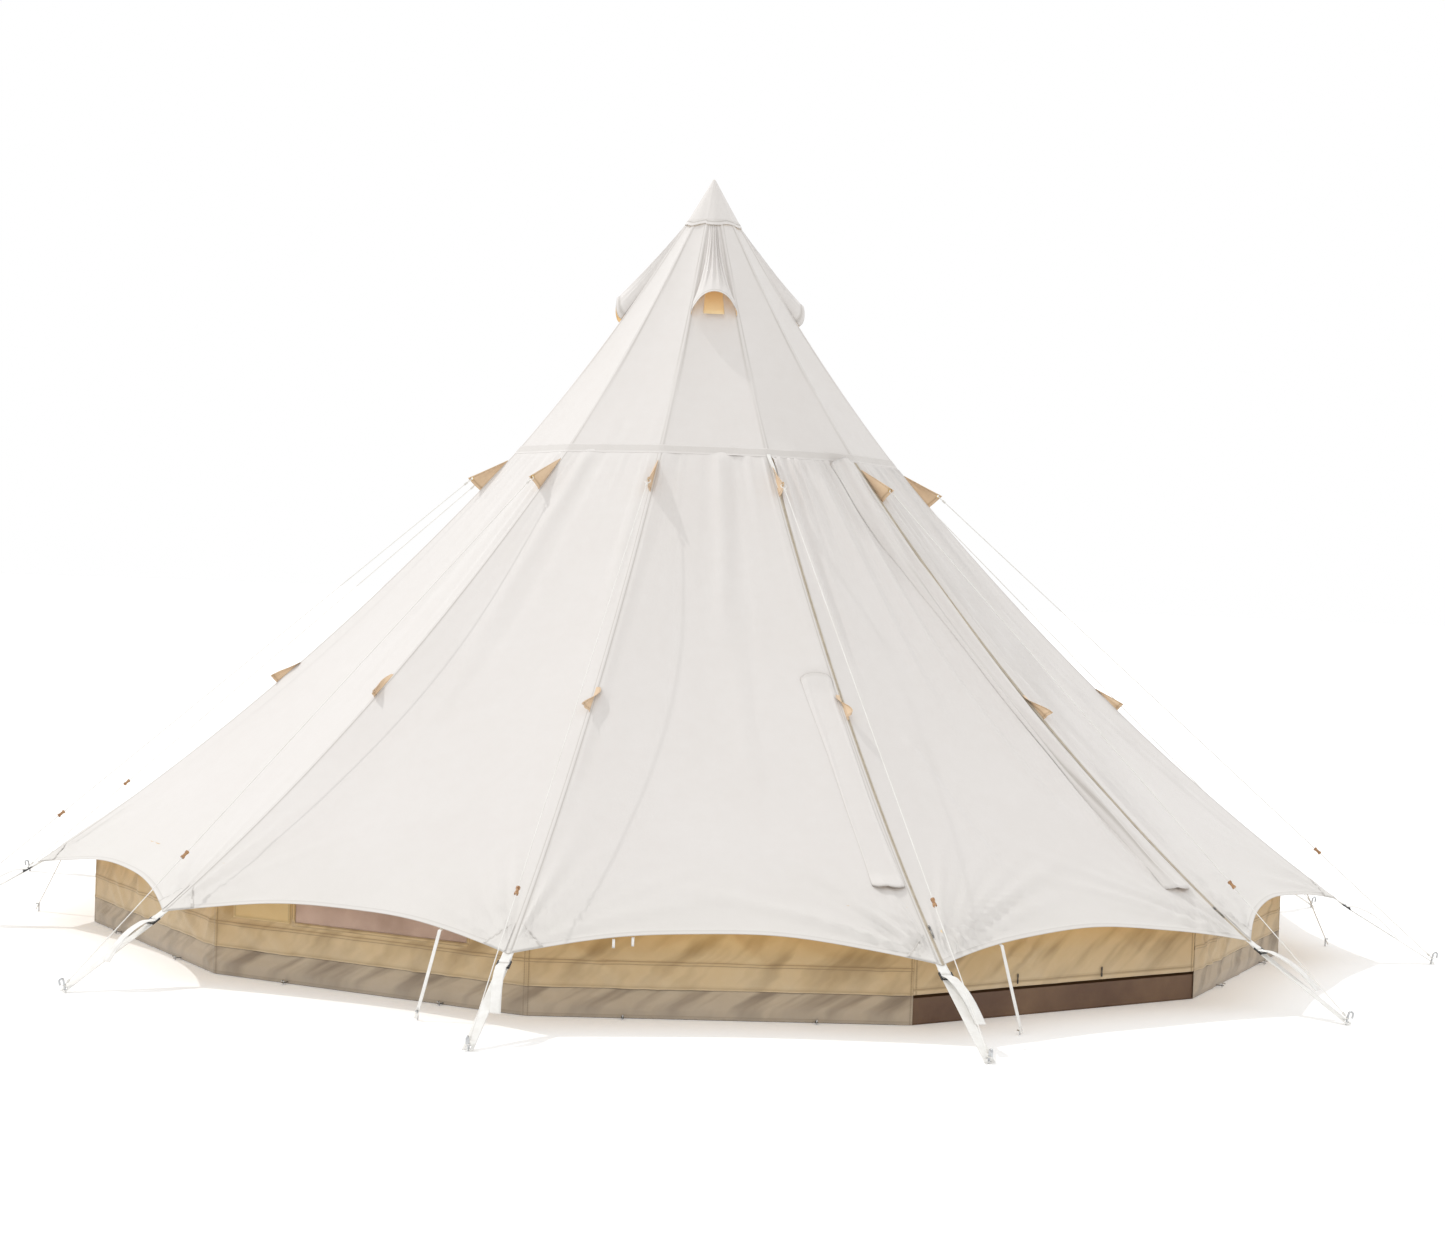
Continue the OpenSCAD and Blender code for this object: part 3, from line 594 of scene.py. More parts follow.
finishes = dict(
    canopy=clothFinish("canopyCotton", (0.705, 0.675, 0.65), (0.675, 0.64, 0.61), (0.40, 0.37, 0.33), 0.0011,
                       dust=(0.25, 0.60, (0.68, 0.655, 0.615))),
    # painted light: the inside's golden tint and glow stand for sunlight coming through the canopy
    canopyInside=clothFinish("canopyInside", (0.80, 0.62, 0.36), (0.72, 0.53, 0.28), (0.50, 0.36, 0.20),
                             0.0011,
                             glow=0.12),
    # painted light: the hood's golden inside and its stronger glow stand for sunlight coming through the
    # cloth
    hoodInside=clothFinish("hoodInside", (0.78, 0.55, 0.28), (0.70, 0.46, 0.20), (0.45, 0.30, 0.16), 0.0011,
                           glow=0.25),
    wall=clothFinish("wallCotton", (0.56, 0.41, 0.225), (0.49, 0.35, 0.175), (0.20, 0.13, 0.06), 0.0010,
                     # painted light: the wall's small glow stands for light coming through it
                     warm=(0.24, 0.40, (0.62, 0.39, 0.13)), dust=(0.10, 0.25, (0.56, 0.45, 0.30)), glow=0.05,
                     # painted shade colour for the wall's slanting creases
                     creaseShade=(0.33, 0.225, 0.105)),
    skirt=clothFinish("skirtCotton", (0.50, 0.41, 0.30), (0.40, 0.32, 0.225), (0.22, 0.17, 0.12), 0.0012,
                      # painted shade colour for the skirt's slanting creases
                      dust=(0.0, 0.09, (0.46, 0.39, 0.31)), creaseShade=(0.25, 0.195, 0.14)),
    fin=clothFinish("finCotton", (0.72, 0.54, 0.36), (0.62, 0.43, 0.26), (0.38, 0.25, 0.14), 0.0010),
    tape=webFinish("cottonTape", (0.70, 0.62, 0.50), (0.56, 0.47, 0.35)),
    webbing=webFinish("webbing", (0.88, 0.87, 0.84), (0.70, 0.67, 0.62)),
    blackWeb=webFinish("blackWebbing", (0.055, 0.050, 0.046), (0.022, 0.020, 0.019)),
    patchCloth=clothFinish("pocketCotton", (0.66, 0.50, 0.26), (0.60, 0.43, 0.20), (0.36, 0.26, 0.13),
                           0.0010),
    cord=cordFinish("braidedCord", (0.86, 0.85, 0.82), (0.66, 0.63, 0.58)),
    elastic=cordFinish("elasticCord", (0.06, 0.055, 0.05), (0.02, 0.02, 0.02)),
    ground=floorSheetFinish("groundsheetCloth", (0.26, 0.165, 0.095), (0.105, 0.055, 0.032)),
    net=meshFinish("insectMesh", (0.62, 0.46, 0.38), (0.30, 0.20, 0.15)),
    buckle=hardFinish("buckleSteel", (0.05, 0.05, 0.052), (0.015, 0.015, 0.016), 0.38, metal=0.6, coat=0.3),
    steel=hardFinish("galvanisedSteel", (0.62, 0.63, 0.64), (0.40, 0.41, 0.42), 0.38, metal=1.0, grain=45),
    tubeSteel=hardFinish("poleSteel", (0.70, 0.71, 0.72), (0.55, 0.56, 0.57), 0.30, metal=1.0, grain=30,
                         stretch=(8, 8, 0.6)),
    brass=hardFinish("brass", (0.72, 0.52, 0.22), (0.45, 0.30, 0.12), 0.32, metal=1.0, grain=180),
    polePlastic=hardFinish("polePlastic", (0.075, 0.075, 0.078), (0.035, 0.035, 0.037), 0.55, grain=220,
                           bump=0.25),
    pull=hardFinish("pullMetal", (0.30, 0.29, 0.28), (0.12, 0.115, 0.11), 0.35, metal=0.9, grain=240),
    zip=webFinish("zipTape", (0.62, 0.55, 0.44), (0.42, 0.35, 0.26), 0.003),
    wood=woodFinish("turnedBeech", (0.46, 0.26, 0.12), (0.22, 0.10, 0.045)),
)
print("finishes made")


# ---- camera, light and floor ----
def makeCamera():
    # a person's eye height, about 11 m off, turned a little to the tent's right
    view = dict(distance=11.361, height=1.656, pitch=-0.0230, yaw=0.0101, roll=0.0363, around=-0.0487,
                lens=59.37)
    cp, sp = math.cos(view["pitch"]), math.sin(view["pitch"])
    cy, sy = math.cos(view["yaw"]), math.sin(view["yaw"])
    ahead = np.array([sy * cp, cy * cp, sp])
    right0 = np.array([cy, -sy, 0.0])
    up0 = np.cross(right0, ahead)
    right = math.cos(view["roll"]) * right0 + math.sin(view["roll"]) * up0
    up = math.cos(view["roll"]) * up0 - math.sin(view["roll"]) * right0
    c, s = math.cos(view["around"]), math.sin(view["around"])
    turn = np.array([[c, -s, 0], [s, c, 0], [0, 0, 1]])
    matrix = np.eye(4)
    matrix[:3, 0] = turn @ right
    matrix[:3, 1] = turn @ up
    matrix[:3, 2] = -(turn @ ahead)
    matrix[:3, 3] = turn @ np.array([0, -view["distance"], view["height"]])
    data = bpy.data.cameras.new("camera")
    data.lens = view["lens"]
    data.sensor_width = 36
    data.clip_end = 400
    camera = bpy.data.objects.new("camera", data)
    bpy.context.scene.collection.objects.link(camera)
    camera.matrix_world = Matrix(matrix.tolist())
    bpy.context.scene.camera = camera


def makeLight():
    # a broad pale sky and one soft lamp from the left, a little behind
    light = dict(towards=(-0.50, 0.38, 0.775), strength=1.3, spread=1.0, sky=1.0)
    lamp = bpy.data.lights.new("sun", "SUN")
    lamp.energy = light["strength"]
    lamp.angle = math.radians(light["spread"])
    lamp.color = (1.0, 1.0, 1.0)
    obj = bpy.data.objects.new("sun", lamp)
    bpy.context.scene.collection.objects.link(obj)
    z = np.array(light["towards"]) / np.linalg.norm(light["towards"])
    x = np.cross((0, 0, 1), z)
    x /= np.linalg.norm(x)
    matrix = np.eye(4)
    matrix[:3, 0], matrix[:3, 1], matrix[:3, 2] = x, np.cross(z, x), z
    obj.matrix_world = Matrix(matrix.tolist())
    world = bpy.data.worlds.new("sky")
    world.use_nodes = True
    background = world.node_tree.nodes["Background"]
    background.inputs["Color"].default_value = (1, 1, 1, 1)
    background.inputs["Strength"].default_value = light["sky"]
    bpy.context.scene.world = world
    bpy.context.scene.view_settings.view_transform = "Standard"


def makeFloor():
    # a plain pale disc under the tent, with a slight grain
    f = Finish("floorPale", **{"Roughness": 0.9, "Emission Strength": 0.16, "Emission Color": (1, 1, 1, 1)})
    grain = f.noise(4.0, 4.0).ramp(0.2, 0.8)
    material = f.use(colour=f.blend(grain, (0.86, 0.86, 0.855), (0.88, 0.88, 0.875)))
    a = np.linspace(0, 2 * math.pi, 64, endpoint=False)
    r = np.array([0.01, 4.0, 12.0, 40.0, 120.0])[:, None]
    points = np.stack([r * np.sin(a), -r * np.cos(a), np.full((5, 64), -0.0005)], -1)
    p = patch(points, wrap=True)
    mesh = bpy.data.meshes.new("floor")
    mesh.from_pydata(points.reshape(-1, 3), [], patchFaces(p, 0) + [list(range(64))])
    mesh.materials.append(material)
    floor = bpy.data.objects.new("floor", mesh)
    bpy.context.scene.collection.objects.link(floor)


makeCamera()
makeLight()
makeFloor()
print("camera, light and floor made")


# ---- guy lines ----
pegs = dict(place=canopy["eaveR"] + 0.42, tilt=math.radians(12), ringAt=0.026, radius=0.004)
guys = dict(diameter=0.004, loop=0.012, eyelet=0.005, flange=0.009)
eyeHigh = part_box("fin_eyelets")[1]
eyeR = eyeHigh.x / math.sin(math.radians(75)) - guys["flange"] - 0.0006
eyeZ = eyeHigh.z - guys["flange"]
pegAhead = np.array([math.sin(pegs["tilt"]), math.cos(pegs["tilt"])])
lineEnd = np.array([pegs["place"], 0]) + pegs["ringAt"] * pegAhead
lineAhead = (lineEnd - [eyeR, eyeZ]) / np.linalg.norm(lineEnd - [eyeR, eyeZ])
lineTop = np.array([eyeR, eyeZ]) + (guys["eyelet"] - guys["diameter"] / 2 - 0.0003) * lineAhead
pegRing = pegs["radius"] + guys["diameter"] / 2 + 0.0003


def ridgePoints(k, radius, y, z):
    # points in a ridge's upright plane, y across it
    return turned(k + 0.5, np.asarray(radius, float), y, np.asarray(z, float))


def makeGuyLine(k):
    # a taut cord from a fin's eyelet to the corner peg, with a spliced loop at each end
    start = lineTop + 2 * guys["loop"] * lineAhead
    end = lineEnd - pegRing * lineAhead
    share = np.linspace(0, 1, 18)[:, None]
    route = start + (end - start) * share
    points = ridgePoints(k, route[:, 0], 0, route[:, 1])
    curve = bpy.data.curves.new(f"guyLine{k + 1}", "CURVE")
    curve.dimensions = "3D"
    curve.bevel_depth = guys["diameter"] / 2
    curve.bevel_resolution = 3
    curve.use_fill_caps = True
    spline = curve.splines.new("POLY")
    spline.points.add(len(points) - 1)
    spline.points.foreach_set("co", np.concatenate([points, np.ones((len(points), 1))], 1).ravel())
    curve.materials.append(finishes["cord"])
    line = bpy.data.objects.new(curve.name, curve)
    bpy.context.scene.collection.objects.link(line)
    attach(line, "tent")
    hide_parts("guy_lines")
    axis = ridgePoints(k, lineAhead[0], 0, lineAhead[1])
    normal = ridgePoints(k, lineAhead[1], 0, -lineAhead[0])
    upright = ridgePoints(k, pegAhead[0], 0, pegAhead[1])
    thick = guys["diameter"] / 2
    top = lineTop + guys["loop"] * lineAhead
    parts = [ring(ridgePoints(k, top[0], 0, top[1]), normal, guys["loop"], thick)]
    parts.append(ring(ridgePoints(k, lineEnd[0], 0, lineEnd[1]), upright, pegRing, thick))
    for away, turns in ((start + 0.004 * lineAhead, 5), (end - 0.022 * lineAhead, 4)):
        for i in range(turns):
            place = away + 0.0036 * i * lineAhead
            parts.append(ring(ridgePoints(k, place[0], 0, place[1]), axis, 0.0034, 0.0019, 16, 8))
    loops = piece(f"guyLoops{k + 1}", parts, [finishes["cord"]], "tent", ["guy_lines"])
    length = float(np.linalg.norm(end - start))


for k in range(sideCount):
    makeGuyLine(k)
print("guy lines made")


# ---- canopy ----
def sideColumns(half, inner, near):
    # places across a side: fixed distances off both ridges, then shares of what is left
    near = np.asarray(near)
    shares = np.sin(np.linspace(-1, 1, inner + 2)[1:-1] * math.pi / 2 * 0.92) / math.sin(math.pi / 2 * 0.92)
    left = -half[:, None] + near
    middle = shares * (half - near[-1])[:, None]
    return np.concatenate([left, middle, -left[:, ::-1]], 1)


def lowerGrid(side, t, inner, near, inset=0.0):
    # the skirt's cloth on one side: place, map and stitch tone
    c = canopy
    r0 = c["seamR"] + (c["eaveR"] - c["seamR"]) * t
    half0 = r0 * flatK * lean
    y0 = sideColumns(half0 - inset, inner, near)
    v = y0 / half0[:, None]
    r = r0[:, None] - c["scallop"] * (1 - v ** 2) * t[:, None] ** 4
    y = y0 * r / r0[:, None]
    half = r * flatK * lean
    lift = lowerRelief(side, np.broadcast_to(t[:, None], y.shape), y, half)
    points = onCanopy(side, r, y, lift)
    edge = half - np.abs(y)
    up = np.broadcast_to((1 - t[:, None]) * skirtLength, y.shape)
    stitch = np.maximum(hump(edge, 0.0085, 0.0022), hump(up, c["hem"], 0.002)) * 0.8
    stitch = np.maximum(stitch, 0.5 * hump(up, 0.0, 0.0015))
    return points, np.stack([y, up], -1), stitch


lowerRows = np.concatenate([[-0.004, 0.0, 0.004, 0.010, 0.018], np.linspace(0.03, 0.96, 88),
                            1 - np.array([0.08, 0.055, 0.03, 0.0275, 0.024, 0.012, 0.004, 0.0])
                            / skirtLength])
nearRidge = [0.0, 0.004, 0.0085, 0.0115, 0.018, 0.026]


def makeLowerCanopy(name, sidesOf, inner):
    # several sides as one sheet, each ridge's column shared
    parts = [lowerGrid(side, lowerRows, inner, nearRidge) for side in sidesOf]
    cut = [0] + [1] * (len(parts) - 1)
    joined = [np.concatenate([part[i][:, c:] for part, c in zip(parts, cut)], 1) for i in range(3)]
    obj = piece(name, [patch(joined[0], joined[1], tone=joined[2])],
                [finishes["canopy"], finishes["canopyInside"]],
                "tent", ["canopy_lower"], canopy["cloth"], -1.0, 1)
    count = len(sidesOf)
    top, foot = 2 * canopy["seamR"] * flatK * lean, 2 * canopy["eaveR"] * flatK * lean
    slant = math.hypot((canopy["eaveR"] - canopy["seamR"]) * flatK, canopy["seamH"] - canopy["eaveH"])
    count * foot
    count * (top + foot) / 2 * slant


makeLowerCanopy("canopyFront", [8, 9, 10, 11, 12], 44)
makeLowerCanopy("canopyBack", [2, 3, 4, 5, 6, 7], 36)


def upperGrid(side, u, inner):
    r = canopy["seamR"] * u
    half = r * flatK * lean
    shares = np.concatenate([[-1, -0.97, -0.93, -0.86], np.linspace(-0.75, -0.45, 5),
                             np.linspace(-0.3, 0.3, inner),
                             np.linspace(0.45, 0.75, 5), [0.86, 0.93, 0.97, 1]])
    y = half[:, None] * shares
    fade = np.minimum(half[:, None] / 0.05, 1)
    lift = upperRelief(side % sideCount, np.broadcast_to(u[:, None], y.shape), y, half[:, None]) * fade
    points = onCanopy(side, np.broadcast_to(r[:, None], y.shape), y, lift)
    stitch = hump(half[:, None] - np.abs(y), 0.0085, 0.003) * 0.7
    return points, np.stack([y, np.broadcast_to(r[:, None] * 1.6, y.shape)], -1), stitch, shares, r


vents = dict(top=0.272, foot=0.412, share=0.45)


def makeUpperCanopy():
    # the steep top, all round, with a hole under each hood
    u = np.unique(np.concatenate([np.linspace(0.05, 0.28, 8),
                                  np.array([vents["top"], vents["foot"]]) / canopy["seamR"],
                                  np.linspace(0.32, 0.42, 5), np.linspace(0.48, 0.985, 26), [0.9965]]))
    parts, keeps = [], []
    for side in range(sideCount):
        points, uv, stitch, shares, r = upperGrid(side, u, 7)
        parts.append((points[:, :-1], uv[:, :-1], stitch[:, :-1]))
        midR = (r[1:] + r[:-1]) / 2
        midV = np.abs(shares[1:] + shares[:-1]) / 2
        hole = (side in ventSides) & (midR > vents["top"])[:, None] & (midR < vents["foot"])[:, None]
        keeps.append(~(hole & (midV < vents["share"])[None, :]))
    points, uv, stitch = (np.concatenate([part[i] for part in parts], 1) for i in range(3))
    obj = piece("canopyUpper", [patch(points, uv, np.concatenate(keeps, 1), wrap=True, tone=stitch)],
                [finishes["canopy"], finishes["canopyInside"]], "tent",
                ["canopy_crown", "canopy_upper"],
                canopy["cloth"], -1.0, 1)
    foot = 2 * canopy["seamR"] * flatK * lean
    slant = math.hypot(canopy["seamR"] * flatK, canopy["apexH"] - canopy["seamH"])
    sideCount * foot
    sideCount * foot * slant / 2


makeUpperCanopy()


def makeSeamBand():
    # a doubled tape round the seam, its lower edge lapped over the skirt
    parts = []
    for side in range(sideCount):
        r = canopy["seamR"] + np.array([-0.0275, -0.026, -0.024, -0.004, -0.001, 0.002, 0.0045])[:, None]
        half = r * flatK * lean
        y = half * np.linspace(-1, 1, 25)
        lift = np.array([0.0003, 0.0012, 0.0014, 0.0014, 0.0012, 0.0010, 0.0004])[:, None]
        r = np.broadcast_to(r, y.shape)
        points = onCanopy(side, r, y, lift + canopyRelief(side, r, y))
        tone = np.broadcast_to(np.array([0.1, 0, 0.3, 0.3, 0, 0, 0.1])[:, None], y.shape)
        parts.append((points[:, :-1], np.stack([r, y], -1)[:, :-1], tone[:, :-1]))
    points, uv, tone = (np.concatenate([part[i] for part in parts], 1) for i in range(3))
    piece("seamBand", [patch(points, uv, wrap=True, tone=tone)], [finishes["canopy"]], "tent",
          ["seam_band"], 0.001)


makeSeamBand()


def makeCap():
    # a steep cone over the tops of the upper sides, with a fluttering hem
    cap = dict(rim=0.137, lift=0.0052, hem=0.012)
    rows = np.concatenate([[0.0025, 0.006, 0.012], np.linspace(0.02, cap["rim"] - cap["hem"], 14),
                           cap["rim"] - cap["hem"] + np.array([0.0015, 0.006, 0.0105, 0.012])])
    shares = np.linspace(-1, 1, 13)
    parts = []
    for side in range(sideCount):
        r = rows[:, None] + 0 * shares
        y = r * flatK * lean * shares
        v = shares + 0 * r
        low = smooth(r, 0.03, cap["rim"])
        flutter = 0.0032 * np.sin(2.5 * (side + v / 2) + 1.3) * (1 - v ** 2) * low
        hem = 0.0012 * smooth(r, cap["rim"] - cap["hem"], cap["rim"] - cap["hem"] + 0.0015)
        lift = cap["lift"] + flutter + hem + 0.003 * low * (1 - np.abs(v)) - 0.002 * low
        points = onCanopy(side, r + 0.0035 * np.cos(3.0 * (side + v / 2)) * low * (r > cap["rim"] - 0.013), y,
                          lift)
        tone = 0.9 * hump(r, cap["rim"] - cap["hem"] + 0.0015, 0.0015) + 0 * v
        parts.append((points[:, :-1], np.stack([y, r], -1)[:, :-1], tone[:, :-1]))
    points, uv, tone = (np.concatenate([part[i] for part in parts], 1) for i in range(3))
    obj = piece("canopyCap", [patch(points, uv, wrap=True, tone=tone)],
                [finishes["canopy"], finishes["canopyInside"]],
                "tent", ["canopy_cap"], 0.0012, -1.0, 1)
    knob = np.linspace(0, 1, 7)
    height = float(points[0, :, 2].max())
    path = np.stack([0 * knob, 0 * knob, height - 0.004 + 0.007 * knob], -1)
    piece("capButton", [tube(path, 0.0075 * np.sqrt(1 - (knob * 0.97) ** 2) + 0.0004, 18, side=(1, 0, 0))],
          [finishes["tape"]], "tent")
    slant = math.hypot(cap["rim"], canopy["apexH"] - float(roofHeight(np.array(cap["rim"]))))


makeCap()


def makeHoods():
    # arched hoods: lifted most at the mouth, with folds that run up and die under the cap
    hood = dict(top=0.126, mouth=0.420, half=0.115, lift=0.088)
    s = np.concatenate([np.linspace(0, 0.9, 34), [0.93, 0.955, 0.962, 0.98, 0.99, 1.0]])[:, None]
    a = np.linspace(math.pi, 0, 49)[None, :]
    parts = []
    for side in ventSides:
        r = hood["top"] + (hood["mouth"] - hood["top"]) * s
        rng = np.random.default_rng(300 + side)
        half = np.minimum(hood["half"] * (0.20 + 0.16 * s + 0.64 * s ** 2.2), r * flatK * lean - 0.004)
        high = 0.002 + (hood["lift"] - 0.002) * s ** 1.25
        folds = 0 * a * s
        for middle, size in ((0.62, 1.0), (0.98, 0.8), (1.35, 0.9), (1.75, 0.7), (2.15, 0.9), (2.55, 0.6)):
            drift = middle + rng.uniform(-0.08, 0.08) + 0.15 * (1 - s) * (middle - 1.57)
            folds = folds + size * hump(a, drift,
                                        0.09) * np.sin(math.pi * np.clip(0.06 + s * 0.98, 0, 1)) ** 0.7
        pinch = 1 - 0.22 * (1 - s) * np.abs(np.sin(2 * a))
        hem = 0.0012 * smooth(s, 0.957, 0.963)
        y = half * np.cos(a) * pinch
        lift = 0.0012 + high * np.sin(a) ** 0.85 * pinch + 0.015 * folds * np.sin(a) + hem
        droop = -0.034 * np.sin(a) ** 2 * s ** 4 + 0.012 * np.cos(a) ** 4 * s ** 6
        where = r + droop
        points = onCanopy(side, where, y, lift + canopyRelief(side, where, y))
        uv = np.stack([np.broadcast_to(a * 0.09, y.shape), np.broadcast_to(s * 0.5, y.shape)], -1)
        tone = 0.8 * hump(s, 0.958, 0.006) + 0.5 * hump(s, 1.0, 0.006) + 0 * a
        parts.append(patch(points, uv, tone=tone))
    obj = piece("ventHoods", parts, [finishes["canopy"], finishes["hoodInside"]], "tent",
                ["vent_hoods"], 0.0012, -1.0, 1)


makeHoods()


def makeVents():
    # a net over each opening, and a flap inside that can fold down from it
    r = np.linspace(vents["top"] - 0.006, vents["foot"] + 0.006, 9)[:, None]
    nets = []
    for i, side in enumerate(ventSides):
        y = r * flatK * lean * (vents["share"] + 0.05) * np.linspace(-1, 1, 9)
        rr = np.broadcast_to(r, y.shape)
        nets.append(patch(onCanopy(side, rr, y, canopyRelief(side, rr, y) - 0.0018),
                          np.stack([y, rr * 1.6], -1)))
        rf = np.linspace(0.262, 0.420, 14)[:, None]
        y = np.broadcast_to(0.048 * np.linspace(-1, 1, 15), (14, 15))
        rf = np.broadcast_to(rf, y.shape)
        lift = -0.0062 - 0.004 * (1 - (y / 0.048) ** 2) * np.sin(8 * rf) ** 2
        hem = 0.4 * (np.abs(y) > 0.042) + 0 * rf
        flap = piece(f"ventFlap{i + 1}",
                     [patch(onCanopy(side, rf, y, lift), np.stack([y, rf * 1.6], -1), tone=hem)],
                     [finishes["canopyInside"]], f"vent_flap_{i + 1}", [f"vent_flap_{i + 1}"],
                     0.0012)
    obj = piece("ventMeshes", nets, [finishes["net"]], "tent", ["vent_meshes"], 0.0006)


makeVents()
print("canopy made")


# ---- door ----
doorEdge = 0.0145


def makeDoorPanel():
    # the door's cloth: the skirt's own shape between its two zips
    t = lowerRows[1:]
    points, uv, stitch = lowerGrid(doorSide, t, 96, [0.0, 0.003, 0.008, 0.016], doorEdge)
    obj = piece("doorPanel", [patch(points, uv, tone=stitch)], [finishes["canopy"], finishes["canopyInside"]],
                "door", ["door_panel"], canopy["cloth"], -1.0, 1)
    top = 2 * (canopy["seamR"] * flatK * lean - doorEdge)
    foot = 2 * (canopy["eaveR"] * flatK * lean - doorEdge)
    slant = math.hypot((canopy["eaveR"] - canopy["seamR"]) * flatK, canopy["seamH"] - canopy["eaveH"])
    (top + foot) / 2 * slant


makeDoorPanel()


def edgeStrip(side, sign, distances, lifts, rows, tone):
    # a strip beside a ridge, at given distances off it and lifts off the plain cloth
    c = canopy
    t = np.linspace(0.0, 1.0, rows)[:, None]
    r = c["seamR"] + 0.0006 + (c["eaveR"] - c["seamR"] - 0.001) * t
    half = r * flatK * lean
    order = slice(None) if sign < 0 else slice(None, None, -1)
    y = sign * (half - np.asarray(distances)[order])
    lift = lifts[:, order]
    points = onCanopy(side, np.broadcast_to(r, y.shape), y, lift)
    uv = np.stack([y, np.broadcast_to(t * skirtLength, y.shape)], -1)
    return patch(points, uv, tone=np.broadcast_to(np.asarray(tone)[order], y.shape))


def makeZips():
    # tapes with a toothed coil at the meeting edge, teeth on every other row
    rows = 700
    tooth = 0.0009 * (1 + np.where(np.arange(rows) % 2 == 0, 1, -1))[:, None]
    ones = np.ones((rows, 1))
    thin, tape, coil, edge = 0.0008 * ones, 0.0012 * ones, 0.0009 + tooth, 0.0 * ones
    tent = np.concatenate([thin, tape, tape, coil, coil, edge], 1)
    door = np.concatenate([edge, coil, coil, tape, tape, thin], 1)
    fixed = [edgeStrip(doorSide, s, [0.0008, 0.002, 0.0042, 0.005, 0.0062, 0.0067], tent, rows,
                       [0, 0, 0, 1, 1, 1])
             for s in (-1, 1)]
    moving = [edgeStrip(doorSide, s, [0.0074, 0.0079, 0.0091, 0.0099, 0.012, 0.0138], door, rows,
                        [1, 1, 1, 0, 0, 0])
              for s in (-1, 1)]
    piece("zipTapes", fixed, [finishes["zip"]], "tent", ["zip_tapes"], 0.0009)
    piece("doorZips", moving, [finishes["zip"]], "door", ["door_zips"], 0.0009)


makeZips()


def makeSliders():
    # a humped slider on each zip with a ringed pull that lies down the slope
    parts = []
    for sign in (-1, 1):
        def at(r, off, lift):
            half = r * flatK * lean
            return onCanopy(doorSide, np.asarray(r, float), sign * (half - off), np.asarray(lift, float))
        down = np.linspace(0, 1, 11)
        path = at(2.836 + 0.016 * down, 0.0145 + 0 * down, 0.0042 + 0 * down)
        parts.append(tube(path, 0.0015 + 0.0026 * np.sin(math.pi * np.clip(down, 0.06, 0.94)), 12))
        centre = at(np.array(2.857), 0.0145, 0.0046)
        parts.append(ring(centre, at(np.array(2.857), 0.0145, 1.0) - at(np.array(2.857), 0.0145, 0.0), 0.0038,
                          0.0008, 20, 6))
        path = at(2.860 + 0.028 * down, 0.0145 + 0 * down, 0.0046 + 0.001 * np.sin(math.pi * down))
        parts.append(tube(path, 0.0010 + 0.0016 * np.sin(math.pi * np.clip(0.15 + 0.7 * down, 0, 1)), 10))
    piece("zipSliders", parts, [finishes["pull"]], "door", ["zip_sliders"])


makeSliders()


def flapGrid(side, sign, r0, r1, width, height, folds, ends, seed, sway):
    # a long arched strip beside a ridge, sewn along both edges and open at its ends
    rng = np.random.default_rng(seed)
    s = np.linspace(0, 1, 120)[:, None]
    q = np.linspace(0, 1, 33)[None, :]
    r = r0 + (r1 - r0) * s
    half = r * flatK * lean
    wander = sway * (0.010 * np.sin(5 * s + seed) + 0.006 * np.sin(13 * s))
    centre = sign * (half - width / 2 - 0.008 - 0.022 * sway - wander)
    y = centre + width / 2 * -np.cos(math.pi * q) * (1 - 0.15 * np.sin(math.pi * s))
    opening = ends * (1 - smooth(s, 0, 0.07) + smooth(s, 0.94, 1))
    arch = (height * (0.7 + 0.3 * np.sin(9 * s + seed)) + opening) * np.sin(math.pi * q)
    creasing = 0 * q * s
    for middle in np.linspace(0.22, 0.8, folds):
        place = middle + 0.06 * np.sin(4 * s + 7 * middle) + rng.uniform(-0.03, 0.03)
        creasing = creasing + rng.uniform(0.5, 1) * hump(q, place, 0.055)
    lift = 0.0012 + arch + 0.008 * creasing * np.sin(math.pi * q) * (0.4 + 0.6 * np.sin(math.pi * s))
    rr = np.broadcast_to(r, y.shape) + 0.02 * np.sin(math.pi * q) * np.where(s > 0.5, 1,
                                                                             -1) * (opening / ends)
    points = onCanopy(side, rr, y, lift + canopyRelief(side, rr, y))
    return points, np.stack([y, np.broadcast_to(s * (r1 - r0) * 1.35, y.shape)], -1), s, q


def makeStormFlaps():
    # the left flap is a short sleeve beside ridge 0, and the right one runs the door's whole length
    points, uv, s, q = flapGrid(0, 1, canopy["seamR"] + 0.90, canopy["eaveR"] - 0.33, 0.125, 0.004, 2, 0.014,
                                3, 0.15)
    edge = 0.9 * hump(q, 0.03, 0.02) + 0.9 * hump(q, 0.97,
                                                  0.02) + 0.7 * (hump(s, 0, 0.008) + hump(s, 1, 0.008))
    left = piece("stormFlapLeft", [patch(points, uv, tone=np.clip(edge, 0, 1))],
                 [finishes["canopy"], finishes["fin"]],
                 "tent", ["storm_flap_left"], 0.0012, -1.0, 1)
    points, uv, s, q = flapGrid(doorSide, 1, canopy["seamR"] + 0.03, canopy["eaveR"] - 0.26, 0.13, 0.026, 3,
                                0.006, 8, 1.0)
    # painted shade: a dark strip in the stitch colour down the flap, for the shadow along its fold
    shadeStrip = hump(q, 0.30 + 0.04 * np.sin(6 * s), 0.05) * smooth(s, 0.18,
                                                                 0.32) * (1 - smooth(s, 0.93, 1.0)) * 0.9
    right = piece("stormFlapRight", [patch(points, uv, tone=np.clip(shadeStrip, 0, 1))],
                  [finishes["canopy"], finishes["fin"]], "door", ["storm_flap_right"],
                  0.0012, -1.0, 1)


makeStormFlaps()


# ---- fins ----
fins = dict(r=0.950, span=0.132, height=0.080, bend=0.009, spareR=1.880, spareSpan=0.1056, spareHeight=0.046)


